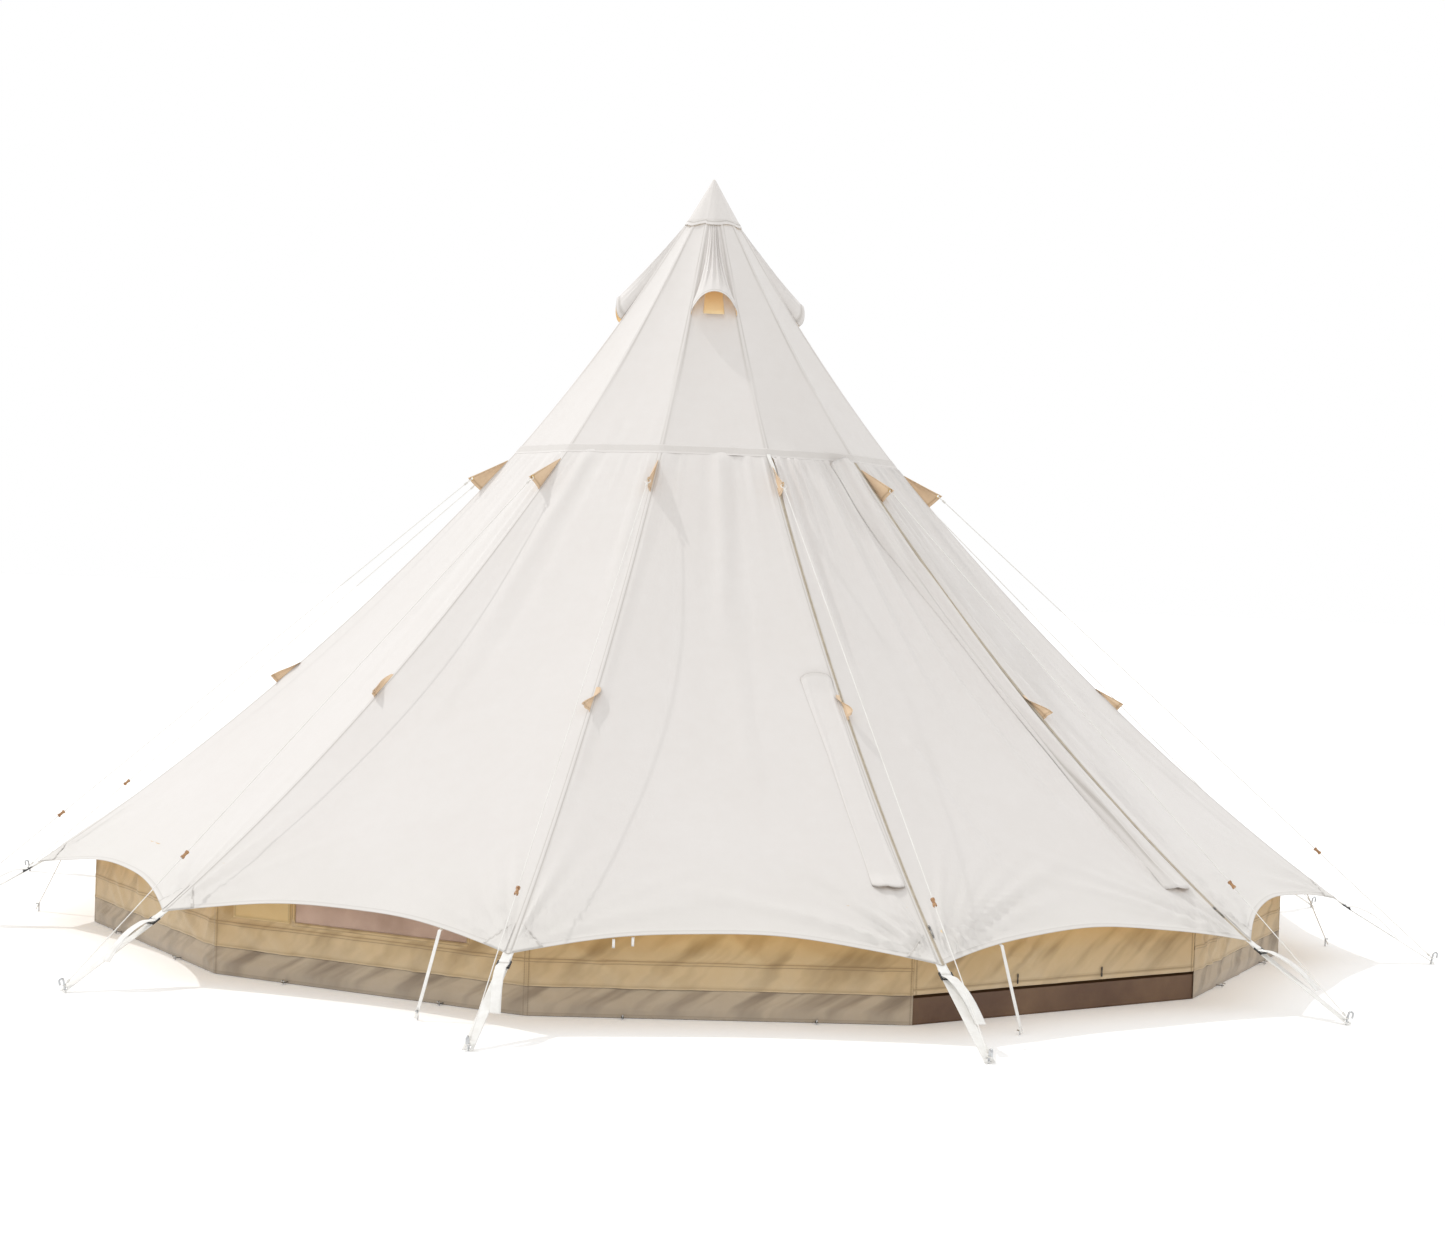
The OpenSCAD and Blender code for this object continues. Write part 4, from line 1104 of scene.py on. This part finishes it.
def finGrid(k, r0, span, height, rows, columns, bend):
    # a triangle that stands on its ridge, highest at its lower end
    s = np.linspace(0.03, 1, rows)[:, None]
    q = np.linspace(0, 1, columns)[None, :]
    radius, z = offRidge(r0 + span * s + 0 * q, 0.0008 + height * s * q)
    y = bend(s, q)
    return ridgePoints(k, radius, y, z), s, q


def makeFins():
    parts = []
    eye = np.array([eyeR, eyeZ])
    for k in range(sideCount):
        points, s, q = finGrid(k, fins["r"], fins["span"], fins["height"], 56, 34,
                               lambda s,
                               q: fins["bend"] * np.sin(1.25 * math.pi * q) * np.sin(2.6 * s) * (-1) ** k)
        radius = np.hypot(points[..., 0], points[..., 1])
        keep = np.hypot(cellMiddles(radius) - eye[0], cellMiddles(points[..., 2]) - eye[1]) > 0.0075
        tone = 0.8 * hump(q, 0.90, 0.03) * (s > 0.1) + 0.8 * hump(s, 0.93, 0.02) + 0.5 * hump(q, 0.06, 0.03)
        uv = np.stack([s * fins["span"] * 1.4 + 0 * q, s * q * fins["height"]], -1)
        parts.append(patch(points, uv, keep, tone=np.clip(tone, 0, 1)))
    obj = piece("topFins", parts, [finishes["fin"]], "tent", ["top_fins"], 0.0022, 0.0)
    parts = []
    for k in range(sideCount):
        rng = np.random.default_rng(500 + k)
        curl, wave = rng.uniform(0.012, 0.026) * rng.choice([-1, 1]), rng.uniform(3, 7)
        points, s, q = finGrid(k, fins["spareR"], fins["spareSpan"],
                               fins["spareHeight"] * rng.uniform(0.75, 1.0), 26, 18,
                               lambda s,
                               q: curl * q ** 1.5 * np.sin(wave * s + 0.6) + 0.004 * np.sin(9 * q) * s)
        tone = 0.8 * hump(q, 0.88, 0.05) + 0.7 * hump(s, 0.92, 0.03)
        uv = np.stack([s * fins["spareSpan"] * 1.3 + 0 * q, s * q * fins["spareHeight"]], -1)
        parts.append(patch(points, uv, tone=np.clip(tone, 0, 1)))
    obj = piece("spareFins", parts, [finishes["fin"]], "tent", ["spare_fins"], 0.0020, 0.0)


makeFins()


def makeRidgeTapes():
    # webbing under each ridge, from below the cap to the wall
    parts = []
    r = np.linspace(0.15, 2.45, 60)[:, None]
    for k in range(sideCount):
        y = np.broadcast_to(np.linspace(-0.011, 0.011, 5), (60, 5))
        radius, z = offRidge(np.broadcast_to(r, y.shape), -0.0062)
        parts.append(patch(ridgePoints(k, radius, y, z),
                           np.stack([y, np.broadcast_to(r * 1.3, y.shape)], -1)))
    piece("ridgeTapes", parts, [finishes["tape"]], "tent", ["ridge_tapes"], 0.0015, -1.0)


def makeCornerPatches():
    # a stitched three-cornered patch on each side of every eave corner
    parts = []
    p = np.linspace(0, 1, 15)[:, None]
    q = np.linspace(0, 1, 13)[None, :]
    for k in range(sideCount):
        for side, sign in ((k, 1), (k + 1, -1)):
            if side % sideCount == doorSide:
                continue
            up = 0.17 - 0.166 * p
            t = 1 - up / skirtLength
            r0 = canopy["seamR"] + (canopy["eaveR"] - canopy["seamR"]) * t + 0 * q
            off = 0.0125 + 0.105 * p * (1 - q if sign > 0 else q)
            half0 = r0 * flatK * lean
            v = 1 - off / half0
            r = r0 - canopy["scallop"] * (1 - v ** 2) * t ** 4
            y = sign * v * r * flatK * lean
            lift = 0.0012 + lowerRelief(side, t + 0 * q, y, r * flatK * lean)
            edge = 0.9 * hump(1 - q if sign > 0 else q, 0.93, 0.04) * (p > 0.08) + 0 * p
            parts.append(patch(onCanopy(side, r, y, lift), np.stack([off, up + 0 * q], -1), tone=edge))
    piece("cornerPatches", parts, [finishes["canopy"]], "tent", (), 0.0009, 1.0)


makeRidgeTapes()
makeCornerPatches()
print("door, zips and fins made")


# ---- straps ----
straps = dict(width=0.040, web=0.0019, eaveWidth=0.014, bars=(0.029, 0.045, 0.061), start=(0.004, -0.007),
              z=0.013)
strapFrom = np.array([canopy["eaveR"] + straps["start"][0], canopy["eaveH"] + straps["start"][1]])
strapTo = np.array([pegs["place"], straps["z"]])
strapLength = float(np.linalg.norm(strapTo - strapFrom))
strapDown = (strapTo - strapFrom) / strapLength
strapUp = np.array([-strapDown[1], strapDown[0]])


def strapRoute(k, rows):
    # points given as (up off the strap's line, along it, sideways), in a ridge's plane
    rows = np.asarray(rows, float)
    place = strapFrom + rows[:, :1] * strapUp + rows[:, 1:2] * strapDown
    return ridgePoints(k, place[:, 0], rows[:, 2], place[:, 1])


def ridgeAcross(k):
    return ridgePoints(k, 0.0, 1.0, 0.0)


def barLoop(z, gapUp=0.0030):
    # the way round a buckle's bar, from above it, over its far side and back below
    return [(gapUp, z - 0.004, 0), (gapUp, z + 0.004, 0), (gapUp * 0.75, z + 0.0066, 0), (0, z + 0.0074, 0),
            (-gapUp * 0.75, z + 0.0066, 0), (-gapUp, z + 0.004, 0), (-gapUp, z - 0.002, 0)]


def makeCornerStraps():
    webs, straight = [], []
    for k in range(sideCount):
        b0, b1 = straps["bars"][0], straps["bars"][1]
        route = [(0.0014, -0.055, 0), (0.0014, -0.02, 0), (0.0013, 0.006, 0),
                 (0.0016, 0.018, 0)] + barLoop(b0 + 0.0) \
            + [(-0.0016, 0.016, 0), (-0.0013, 0.004, 0)]
        webs.append(ribbon(softened(strapRoute(k, route), 60), ridgeAcross(k), straps["width"], 7))
        rng = np.random.default_rng(700 + k)
        swing = rng.uniform(0.030, 0.055) * rng.choice([-1, 1])
        tail = [(0.002 + 0.030 * math.sin(2.8 * s), b1 + 0.262 - 0.255 * s,
                 swing * (1 - s) ** 1.2) for s in np.linspace(0, 1, 10)]
        peg = strapLength
        route = tail[:-1] + [(0.0030, b1 + 0.004, 0), (0.0024, b1 - 0.0022, 0), (0, b1 - 0.0034, 0),
                             (-0.0024, b1 - 0.0022, 0), (-0.0030, b1 + 0.006, 0), (-0.0040, b1 + 0.03, 0),
                             (-0.003, b1 + 0.10, 0), (-0.002, 0.5 * peg, 0), (-0.001, 0.8 * peg, 0),
                             (-0.0005, peg + 0.016, 0)]
        path = softened(strapRoute(k, route), 130)
        p = ribbon(path, ridgeAcross(k), straps["width"], 11)
        radius = np.hypot(p["points"][..., 0], p["points"][..., 1])
        across = p["points"] @ ridgeAcross(k)
        p["keep"] = np.hypot(cellMiddles(radius) - pegs["place"] - 0.003, cellMiddles(across)) > 0.0072
        straight.append(p)
    piece("cornerWebs", webs, [finishes["webbing"]], "tent", ["corner_webs"], straps["web"], 0.0)
    piece("cornerStraps", straight, [finishes["webbing"]], "tent", ["corner_straps"],
          straps["web"], 0.0)


makeCornerStraps()


def eaveStrapPatch(side, v, nearPeg):
    # a narrow band from the hem to its peg, forked round the pin at its foot
    c = canopy
    r = c["eaveR"] - c["scallop"] * (1 - v * v)
    x, z = r * flatK, float(roofHeight(np.array(r)))
    y = v * (x * lean - doorEdge + 0.0006)
    sag = np.linspace(0, 1, 40)
    path = np.stack([x - 0.030 + 0.034 * np.clip(sag / 0.15, 0, 1), 0 * sag,
                     z + 0.018 - 0.022 * np.clip(sag / 0.15, 0, 1)], -1)
    along = np.clip((sag - 0.15) / 0.85, 0, 1)
    reach = 0.130 + nearPeg
    path[:, 0] += along * (reach - 0.004)
    path[:, 2] += along * (0.012 - z) - 0.003 * np.sin(math.pi * along)
    path[:, 2] -= 0.004 * (sag < 0.15)
    path = turned(side, path[:, 0], y, path[:, 2])
    p = ribbon(softened(path, 90), turned(side, 0.0, 1.0, 0.0), straps["eaveWidth"], 9)
    pin = turned(side, x + 0.130, y, 0.012)
    flat = np.hypot(cellMiddles(p["points"][..., 0]) - pin[0], cellMiddles(p["points"][..., 1]) - pin[1])
    p["keep"] = flat > 0.0042
    return p


def makeEaveStraps():
    parts = [eaveStrapPatch(side, -0.6 if side < 6 else 0.6, 0.012) for side in range(3, sideCount, 2)]
    piece("eaveStraps", parts, [finishes["webbing"]], "tent", ["eave_straps"], straps["web"], 0.0)
    piece("doorStrap", [eaveStrapPatch(doorSide, -0.6, 0.004)], [finishes["webbing"]], "door",
          ["door_strap"], straps["web"], 0.0)


makeEaveStraps()


def makeTieLoops():
    # two small loops under the front eave, and a tape that hangs from the seam on ridge 0
    parts = []
    c = canopy
    for v in (-0.53, -0.44):
        r = c["eaveR"] - c["scallop"] * (1 - v * v)
        x, z = r * flatK, float(roofHeight(np.array(r)))
        a = np.linspace(-1.15, 1.15, 24) * math.pi
        route = turned(0, x - 0.006 - 0.010 * np.sin(a), v * x * lean, z - 0.020 - 0.016 * -np.cos(a * 0.87))
        parts.append(ribbon(route, turned(0, 0.0, 1.0, 0.0), 0.010, 4))
    s = np.linspace(0, 1, 40)
    r = c["seamR"] - 0.004 + 0.135 * s
    radius, z = offRidge(r, 0.0045 + 0.010 * np.sin(3.6 * s) ** 2)
    parts.append(ribbon(ridgePoints(0, radius, 0.008 * s ** 2, z), ridgeAcross(0), 0.018, 5))
    piece("tieTapes", parts, [finishes["webbing"]], "tent", (), 0.0012, 0.0)


makeTieLoops()
print("straps made")


# ---- walls ----
def wallRelief(side, y, z, seed, z0, z1, height):
    # soft diagonal folds across a wall, and puckers that hang from its top
    rng = np.random.default_rng(seed + side % sideCount)
    half = walls["face"] * lean
    total = 0 * y
    for i in range(13):
        y0, z2 = rng.uniform(-half, half), rng.uniform(z0, z1)
        tilt = math.radians(rng.uniform(25, 62)) * (1 if i % 4 else -1)
        along = (y - y0) * math.cos(tilt) - (z - z2) * math.sin(tilt)
        across = (y - y0) * math.sin(tilt) + (z - z2) * math.cos(tilt)
        size = rng.uniform(0.4, 1)
        width = rng.uniform(0.014, 0.034)
        reach = rng.uniform(0.14, 0.36)
        total = total + size * hump(across, 0, width) * hump(along, 0, reach)
    puckers = 0 * y
    for place in np.linspace(-half, half, 17):
        puckers = puckers + rng.uniform(-0.4, 1) * hump(y, place + 0.3 * (z1 - z) + rng.uniform(-0.02, 0.02),
                                                        0.016)
    total = total + 0.5 * puckers * smooth(z, z1 - 0.12, z1)
    return height * total * smooth(half - np.abs(y), 0.004, 0.05)


def wallColumns(extra=()):
    half = walls["face"] * lean
    near = np.array([0, 0.004, 0.009, 0.012, 0.02, 0.035])
    y = np.concatenate([-half + near, np.linspace(-half + 0.05, half - 0.05, 62), half - near, list(extra)])
    return np.unique(np.round(y, 5))


window = dict(middle=0.060, width=0.780, height=0.150, fromTop=0.050)
window["left"] = window["middle"] - window["width"] / 2
window["right"] = window["middle"] + window["width"] / 2
window["top"] = walls["top"] - window["fromTop"]
window["foot"] = window["top"] - window["height"]
midSeam = 0.205


def wallGrid(sidesOf, z, relief, extra=()):
    y = wallColumns(extra)
    grids, tones = [], []
    for n, side in enumerate(sidesOf):
        yy, zz = np.broadcast_arrays(y[None, :], z[:, None])
        lift = relief(side, yy, zz)
        edge = walls["face"] * lean - np.abs(yy)
        lift = lift + 0.0011 * (1 - smooth(edge, 0.009, 0.012))
        grid = onWall(side, yy, zz, lift)
        tone = 0.8 * np.maximum(hump(edge, 0.009, 0.002), hump(edge, 0.0015, 0.0015))
        grids.append(grid[:, (1 if n else 0):])
        tones.append(tone[:, (1 if n else 0):])
    return np.concatenate(grids, 1), np.concatenate(tones, 1), y


wallSides = list(range(2, 13))


def makeWallPanels():
    # eleven upright sides as one sheet, with the window cut from one of them
    z = np.unique(np.concatenate([walls["skirt"] + np.array([0.0, 0.003, 0.008, 0.011]),
                                  np.linspace(0.13, 0.19, 7),
                                  midSeam + np.array([-0.008, -0.006, 0, 0.006, 0.008]),
                                  np.linspace(0.22, 0.42, 22),
                                  [window["foot"], window["top"], walls["top"] - 0.008,
                                   walls["top"] - 0.001]]))
    z = z[np.concatenate([[True], np.diff(z) > 0.0008])]

    def relief(side, y, zz):
        seam = 0.0011 * (1 - smooth(np.abs(zz - midSeam), 0.006, 0.008))
        foot = 0.0011 * (1 - smooth(zz - walls["skirt"], 0.008, 0.011))
        calm = 1.0
        if side % sideCount == windowSide:
            calm = 1 - (1 - smooth(np.abs(y - window["middle"]), window["width"] / 2,
                                   window["width"] / 2 + 0.08)) \
                * smooth(zz, window["foot"] - 0.05, window["foot"])
            calm = calm * (1 - (1 - smooth(np.abs(y + 0.49), 0.14, 0.18)) * smooth(zz, 0.19, 0.23))
        return np.maximum(seam, foot) + calm * wallRelief(side, y, zz, 800, walls["skirt"], walls["top"],
                                                          0.013)

    points, tone, y = wallGrid(wallSides, z, relief, (window["left"], window["right"]))
    down = z[::-1]
    points, tone = points[::-1], tone[::-1].copy()
    tone = np.maximum(tone, 0.7 * hump(np.abs(down - midSeam)[:, None], 0.006, 0.0015))
    tone = np.maximum(tone, 0.7 * hump(down[:, None], walls["skirt"] + 0.009, 0.0015))
    cells = len(y) - 1
    keep = np.ones((len(z) - 1, cells * len(wallSides)), bool)
    first = wallSides.index(windowSide) * cells
    midY, midZ = (y[1:] + y[:-1]) / 2, (down[1:] + down[:-1]) / 2
    hole = ((midY > window["left"]) & (midY < window["right"]))[None, :] & ((midZ > window["foot"])
                                                                            & (midZ < window["top"]))[:, None]
    keep[:, first:first + cells] = ~hole
    uvU = np.concatenate([np.zeros((len(z), 1)),
                          np.cumsum(np.linalg.norm(np.diff(points, axis=1), axis=-1), 1)], 1)
    uv = np.stack([uvU, np.broadcast_to(down[:, None], uvU.shape)], -1)
    obj = piece("wallPanels", [patch(points, uv, keep, tone=tone)], [finishes["wall"], finishes["wall"]],
                "tent",
                ["wall_panels"], walls["cloth"], -1.0)


def makeMudSkirt():
    # the strip at the wall's foot: limp, crumpled and bowed out a little above the ground
    z = np.linspace(walls["skirt"] - 0.0006, 0.0015, 22)

    def relief(side, y, zz):
        share = 1 - zz / walls["skirt"]
        rng = np.random.default_rng(900 + side % sideCount)
        waves = 0 * y
        for _ in range(26):
            place = rng.uniform(-0.72, 0.72)
            waves = waves + rng.uniform(-0.5, 1) * hump(y, place + rng.uniform(-0.5, 0.5) * zz * 2,
                                                        rng.uniform(0.010, 0.026)) \
                * hump(zz, rng.uniform(0.0, 0.1), rng.uniform(0.03, 0.07))
        half = walls["face"] * lean
        edge = smooth(half - np.abs(y), 0.004, 0.05)
        level = hump(zz, 0.045 + 0.012 * np.sin(5 * y + side), 0.014) - 0.5 * hump(zz, 0.078, 0.012)
        return 0.0066 * np.sin(math.pi * np.clip(share, 0, 1)) * edge + 0.0042 * waves * smooth(share, 0,
                                                                                                0.2) * edge \
            + 0.003 * level * edge

    points, tone, y = wallGrid(wallSides, z, relief)
    tone = np.maximum(tone, 0.6 * hump(z[:, None], 0.010, 0.003))
    uvU = np.concatenate([np.zeros((len(z), 1)),
                          np.cumsum(np.linalg.norm(np.diff(points, axis=1), axis=-1), 1)], 1)
    uv = np.stack([uvU, np.broadcast_to(z[:, None], uvU.shape)], -1)
    obj = piece("mudSkirt", [patch(points, uv, tone=tone)], [finishes["skirt"]], "tent",
                ["wall_skirt"],
                walls["cloth"], -1.0)


makeWallPanels()
makeMudSkirt()


def makeWallDoor():
    # the door side's wall: a free hem that hangs outside the groundsheet's edge
    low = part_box("wall_door")[0]
    z = np.concatenate([np.linspace(walls["top"] - 0.001, low.z + 0.022, 32),
                        low.z + np.array([0.020, 0.012, 0.004, 0.0])])
    y = np.clip(wallColumns(), -(walls["face"] - 0.003) * lean + 0.0004,
                (walls["face"] - 0.003) * lean - 0.0004)
    y = np.unique(y)
    yy, zz = np.broadcast_arrays(y[None, :], z[:, None])
    half = walls["face"] * lean
    hem = 0.0010 * (1 - smooth(zz - low.z, 0.020, 0.022))
    lift = wallRelief(doorSide, yy, zz, 800, low.z, walls["top"], 0.012) * smooth(half - np.abs(yy), 0.01,
                                                                                  0.05) + hem
    points = turned(doorSide, walls["face"] + np.maximum(lift - 0.0005, -0.001), yy, zz)
    tone = 0.8 * np.maximum(hump(zz, low.z + 0.020, 0.002), hump(half - np.abs(yy), 0.012, 0.002))
    obj = piece("wallDoor", [patch(points, np.stack([yy, zz], -1), tone=tone)], [finishes["wall"]],
                "wall_door",
                ["wall_door"], walls["cloth"], -1.0)


makeWallDoor()


def flatPanel(side, x, y0, y1, z0, z1, ny, nz, lift, tone=None):
    # an upright rectangle at a distance x out, seen from outside
    y = np.linspace(y0, y1, ny)
    z = np.linspace(z1, z0, nz)
    yy, zz = np.broadcast_arrays(y[None, :], z[:, None])
    edge = np.minimum(np.minimum(yy - y0, y1 - yy), np.minimum(zz - z0, z1 - zz))
    points = turned(side, x + lift(yy, zz, edge), yy, zz)
    shade = 0.8 * hump(edge, 0.007, 0.0025) if tone is None else tone(edge)
    return patch(points, np.stack([yy, zz], -1), tone=shade)


def makeWindow():
    # net, outer pocket, inner cover and a bound edge round the hole; the cover's toggles are made with the
    # door's
    w, face = window, walls["face"]
    net = flatPanel(windowSide, face - 0.0012, w["left"] - 0.01, w["right"] + 0.01, w["foot"] - 0.01,
                    w["top"] + 0.01, 60, 14,
                    lambda y, z, e: -0.0004 - 0.0015 * hump(y, 0.1, 0.2) * smooth(e, 0, 0.03),
                    lambda e: 0 * e)
    obj = piece("windowMesh", [net], [finishes["net"]], "tent", ["window_mesh"], 0.0005, -1.0)
    pocketRight = w["left"] - 0.024
    pocket = flatPanel(windowSide, face + 0.0016, pocketRight - 0.27, pocketRight, w["foot"] - 0.008,
                       w["top"] + 0.008, 44, 30,
                       lambda y, z, e: 0.0010 * (e < 0.0075) + 0.003 * smooth(e, 0.01, 0.06)
                       * (0.6 + 0.4 * np.sin(25 * y + 9 * z)))
    obj = piece("windowPocket", [pocket], [finishes["patchCloth"]], "tent", ["window_pocket"],
                0.0012, -1.0)
    bands = []
    b = 0.016
    for y0, y1, z0, z1 in ((w["left"] - b, w["right"] + b, w["top"], w["top"] + b),
                           (w["left"] - b, w["right"] + b, w["foot"] - b, w["foot"]),
                           (w["left"] - b, w["left"], w["foot"], w["top"]),
                           (w["right"], w["right"] + b, w["foot"], w["top"])):
        bands.append(flatPanel(windowSide, face + 0.0014, y0, y1, z0, z1, 24 if y1 - y0 > 0.1 else 6,
                               6 if z1 - z0 < 0.05 else 16,
                               lambda y, z, e: 0.0006 * smooth(e, 0, 0.002),
                               lambda e: 0.8 * hump(e, 0.003, 0.002)))
    piece("windowBinding", bands, [finishes["wall"]], "tent", (), 0.0010, -1.0)
    cover = flatPanel(windowSide, face - 0.0040, w["left"] - 0.02, w["right"] + 0.02, w["foot"] - 0.018,
                      w["top"] + 0.018, 70, 20,
                      lambda y, z, e: -0.0012 + 0.0006 * np.sin(30 * y + 20 * z) * smooth(e, 0, 0.02))
    obj = piece("windowCover", [cover], [finishes["wall"]], "window_cover", ["window_cover"],
                0.0012, -1.0)


makeWindow()


def toggle(side, x, y, z0, z1, radius):
    # a turned toggle: rounded ends, a waist at the middle
    s = np.linspace(0, 1, 25)
    shape = radius * np.sqrt(np.clip(1 - (2 * s - 1) ** 10, 0.02, 1)) * (1 - 0.28 * hump(s, 0.5, 0.12))
    path = turned(side, x + 0 * s, y, z0 + (z1 - z0) * s)
    return tube(path, shape, 16, side=(1, 0, 0))


def makeToggles():
    halfWall = walls["face"] * lean
    low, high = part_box("wall_door_toggles")
    parts = [toggle(doorSide, walls["face"] + 0.0045, s * 0.3 * halfWall, low.z, high.z, 0.003) for s in (-1,
                                                                                                          1)]
    for s in (-1, 1):
        a = np.linspace(0, math.pi, 12)
        route = turned(doorSide, walls["face"] + 0.001 + 0.004 * np.sin(a), s * 0.3 * halfWall,
                       low.z + 0.02 - 0.012 * np.cos(a))
        parts.append(tube(route, 0.0009, 8, side=turned(doorSide, 0.0, 1.0, 0.0)))
    piece("wallDoorToggles", parts, [finishes["elastic"]], "wall_door", ["wall_door_toggles"])
    low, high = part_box("window_toggles")
    inside = walls["face"] - 0.003 - 0.0005 - 0.002 - 0.0043
    parts = [toggle(windowSide, inside, window["middle"] + s * 0.36 * window["width"], low.z, high.z,
                    0.004) for s in (-1, 1)]
    piece("windowToggles", parts, [finishes["wood"]], "window_cover", ["window_toggles"])


makeToggles()


def makeWallLoops():
    # a short black band at each wall peg, pierced by its pin
    parts = []
    halfWall = walls["face"] * lean
    for side in wallSides:
        for s in (-1, 1):
            out = np.linspace(-0.006, 0.034, 17)
            y = s * 0.5 * halfWall
            path = turned(side, walls["face"] + out, y, 0.0071 + 0.003 * smooth(-out, -0.004, 0.006))
            p = ribbon(path, turned(side, 0.0, 1.0, 0.0), 0.010, 9)
            pin = turned(side, walls["face"] + 0.026, y, 0.0)
            p["keep"] = np.hypot(cellMiddles(p["points"][..., 0]) - pin[0],
                                 cellMiddles(p["points"][..., 1]) - pin[1]) > 0.0034
            parts.append(p)
    piece("wallLoops", parts, [finishes["blackWeb"]], "tent", ["wall_loops"], 0.0016, 0.0)


makeWallLoops()
print("walls made")


# ---- groundsheet ----
def makeGroundsheet():
    # a coated floor with old fold lines, and its edge turned up inside the wall
    low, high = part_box("groundsheet_tub")
    x = -low.y
    rings = np.linspace(0.02, 1, 40)[:, None]
    shares = np.linspace(-1, 1, 9)
    parts = []
    for side in range(sideCount):
        xx = x * rings + 0 * shares
        yy = xx * lean * shares
        parts.append(turned(side, xx, yy, 0 * xx)[:, :-1])
    points = np.concatenate(parts, 1)
    crease = np.maximum(hump(np.sin(points[..., 0] * 5.2), 0, 0.06),
                        hump(np.sin(points[..., 1] * 5.2), 0, 0.06))
    points[..., 2] = 0.0012 + 0.0012 * crease * (rings < 0.97)
    obj = piece("groundsheet", [patch(points, points[..., :2].copy(), wrap=True, caps=False)],
                [finishes["ground"]],
                "tent", ["groundsheet"], 0.0010, -1.0)
    z = np.concatenate([np.linspace(high.z, high.z - 0.008, 3),
                        np.linspace(high.z - 0.011, 0.0016, 14)])[:, None]
    shares = np.linspace(-1, 1, 41)
    parts = []
    for side in range(sideCount):
        rng = np.random.default_rng(1100 + side)
        y = (x * lean * shares)[None, :] + 0 * z
        dent = 0 * y
        for i in range(9):
            dent = dent + rng.uniform(0.3, 1) * hump(y, rng.uniform(-0.7, 0.7) + z * rng.uniform(-1, 1),
                                                     0.02) * hump(z, rng.uniform(0, 0.1), 0.05)
        inwards = -0.0035 * np.clip(dent, 0, 1.4) * (1 - shares ** 8)
        parts.append(turned(side, x + inwards, y, z)[:, :-1])
    points = np.concatenate(parts, 1)
    around = np.cumsum(np.linalg.norm(np.diff(points, axis=1, prepend=points[:, :1]), axis=-1), 1)
    tone = 0.8 * hump(z, high.z - 0.0095, 0.002) + 0 * around
    obj = piece("groundsheetTub",
                [patch(points, np.stack([around, z + 0 * around], -1), wrap=True, tone=tone)],
                [finishes["ground"]], "tent", ["groundsheet_tub"], 0.0012, -1.0)


makeGroundsheet()
print("groundsheet made")


# ---- carried-over metal, wood and plastic ----
def carry(node, finish):
    # a CAD node keeps its shape and takes a finish
    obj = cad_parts[node]
    if not obj.data.materials:
        obj.data.materials.append(finishes[finish])
    for i in range(len(obj.data.materials)):
        obj.data.materials[i] = finishes[finish]


carried = dict(
    fin_eyelets="brass", eave_pegs="steel", corner_buckles="buckle", corner_pegs="steel", wall_pegs="steel",
    pole_upper_tube="tubeSteel", pole_lower_tube="tubeSteel", pole_tip="polePlastic", pole_foot="polePlastic",
    pole_collar="polePlastic", clamp_screw="polePlastic",
)
for node, finish in carried.items():
    carry(node, finish)
for k in range(sideCount):
    carry(f"guy_runner_{k + 1}", "wood")
print("frame parts finished")
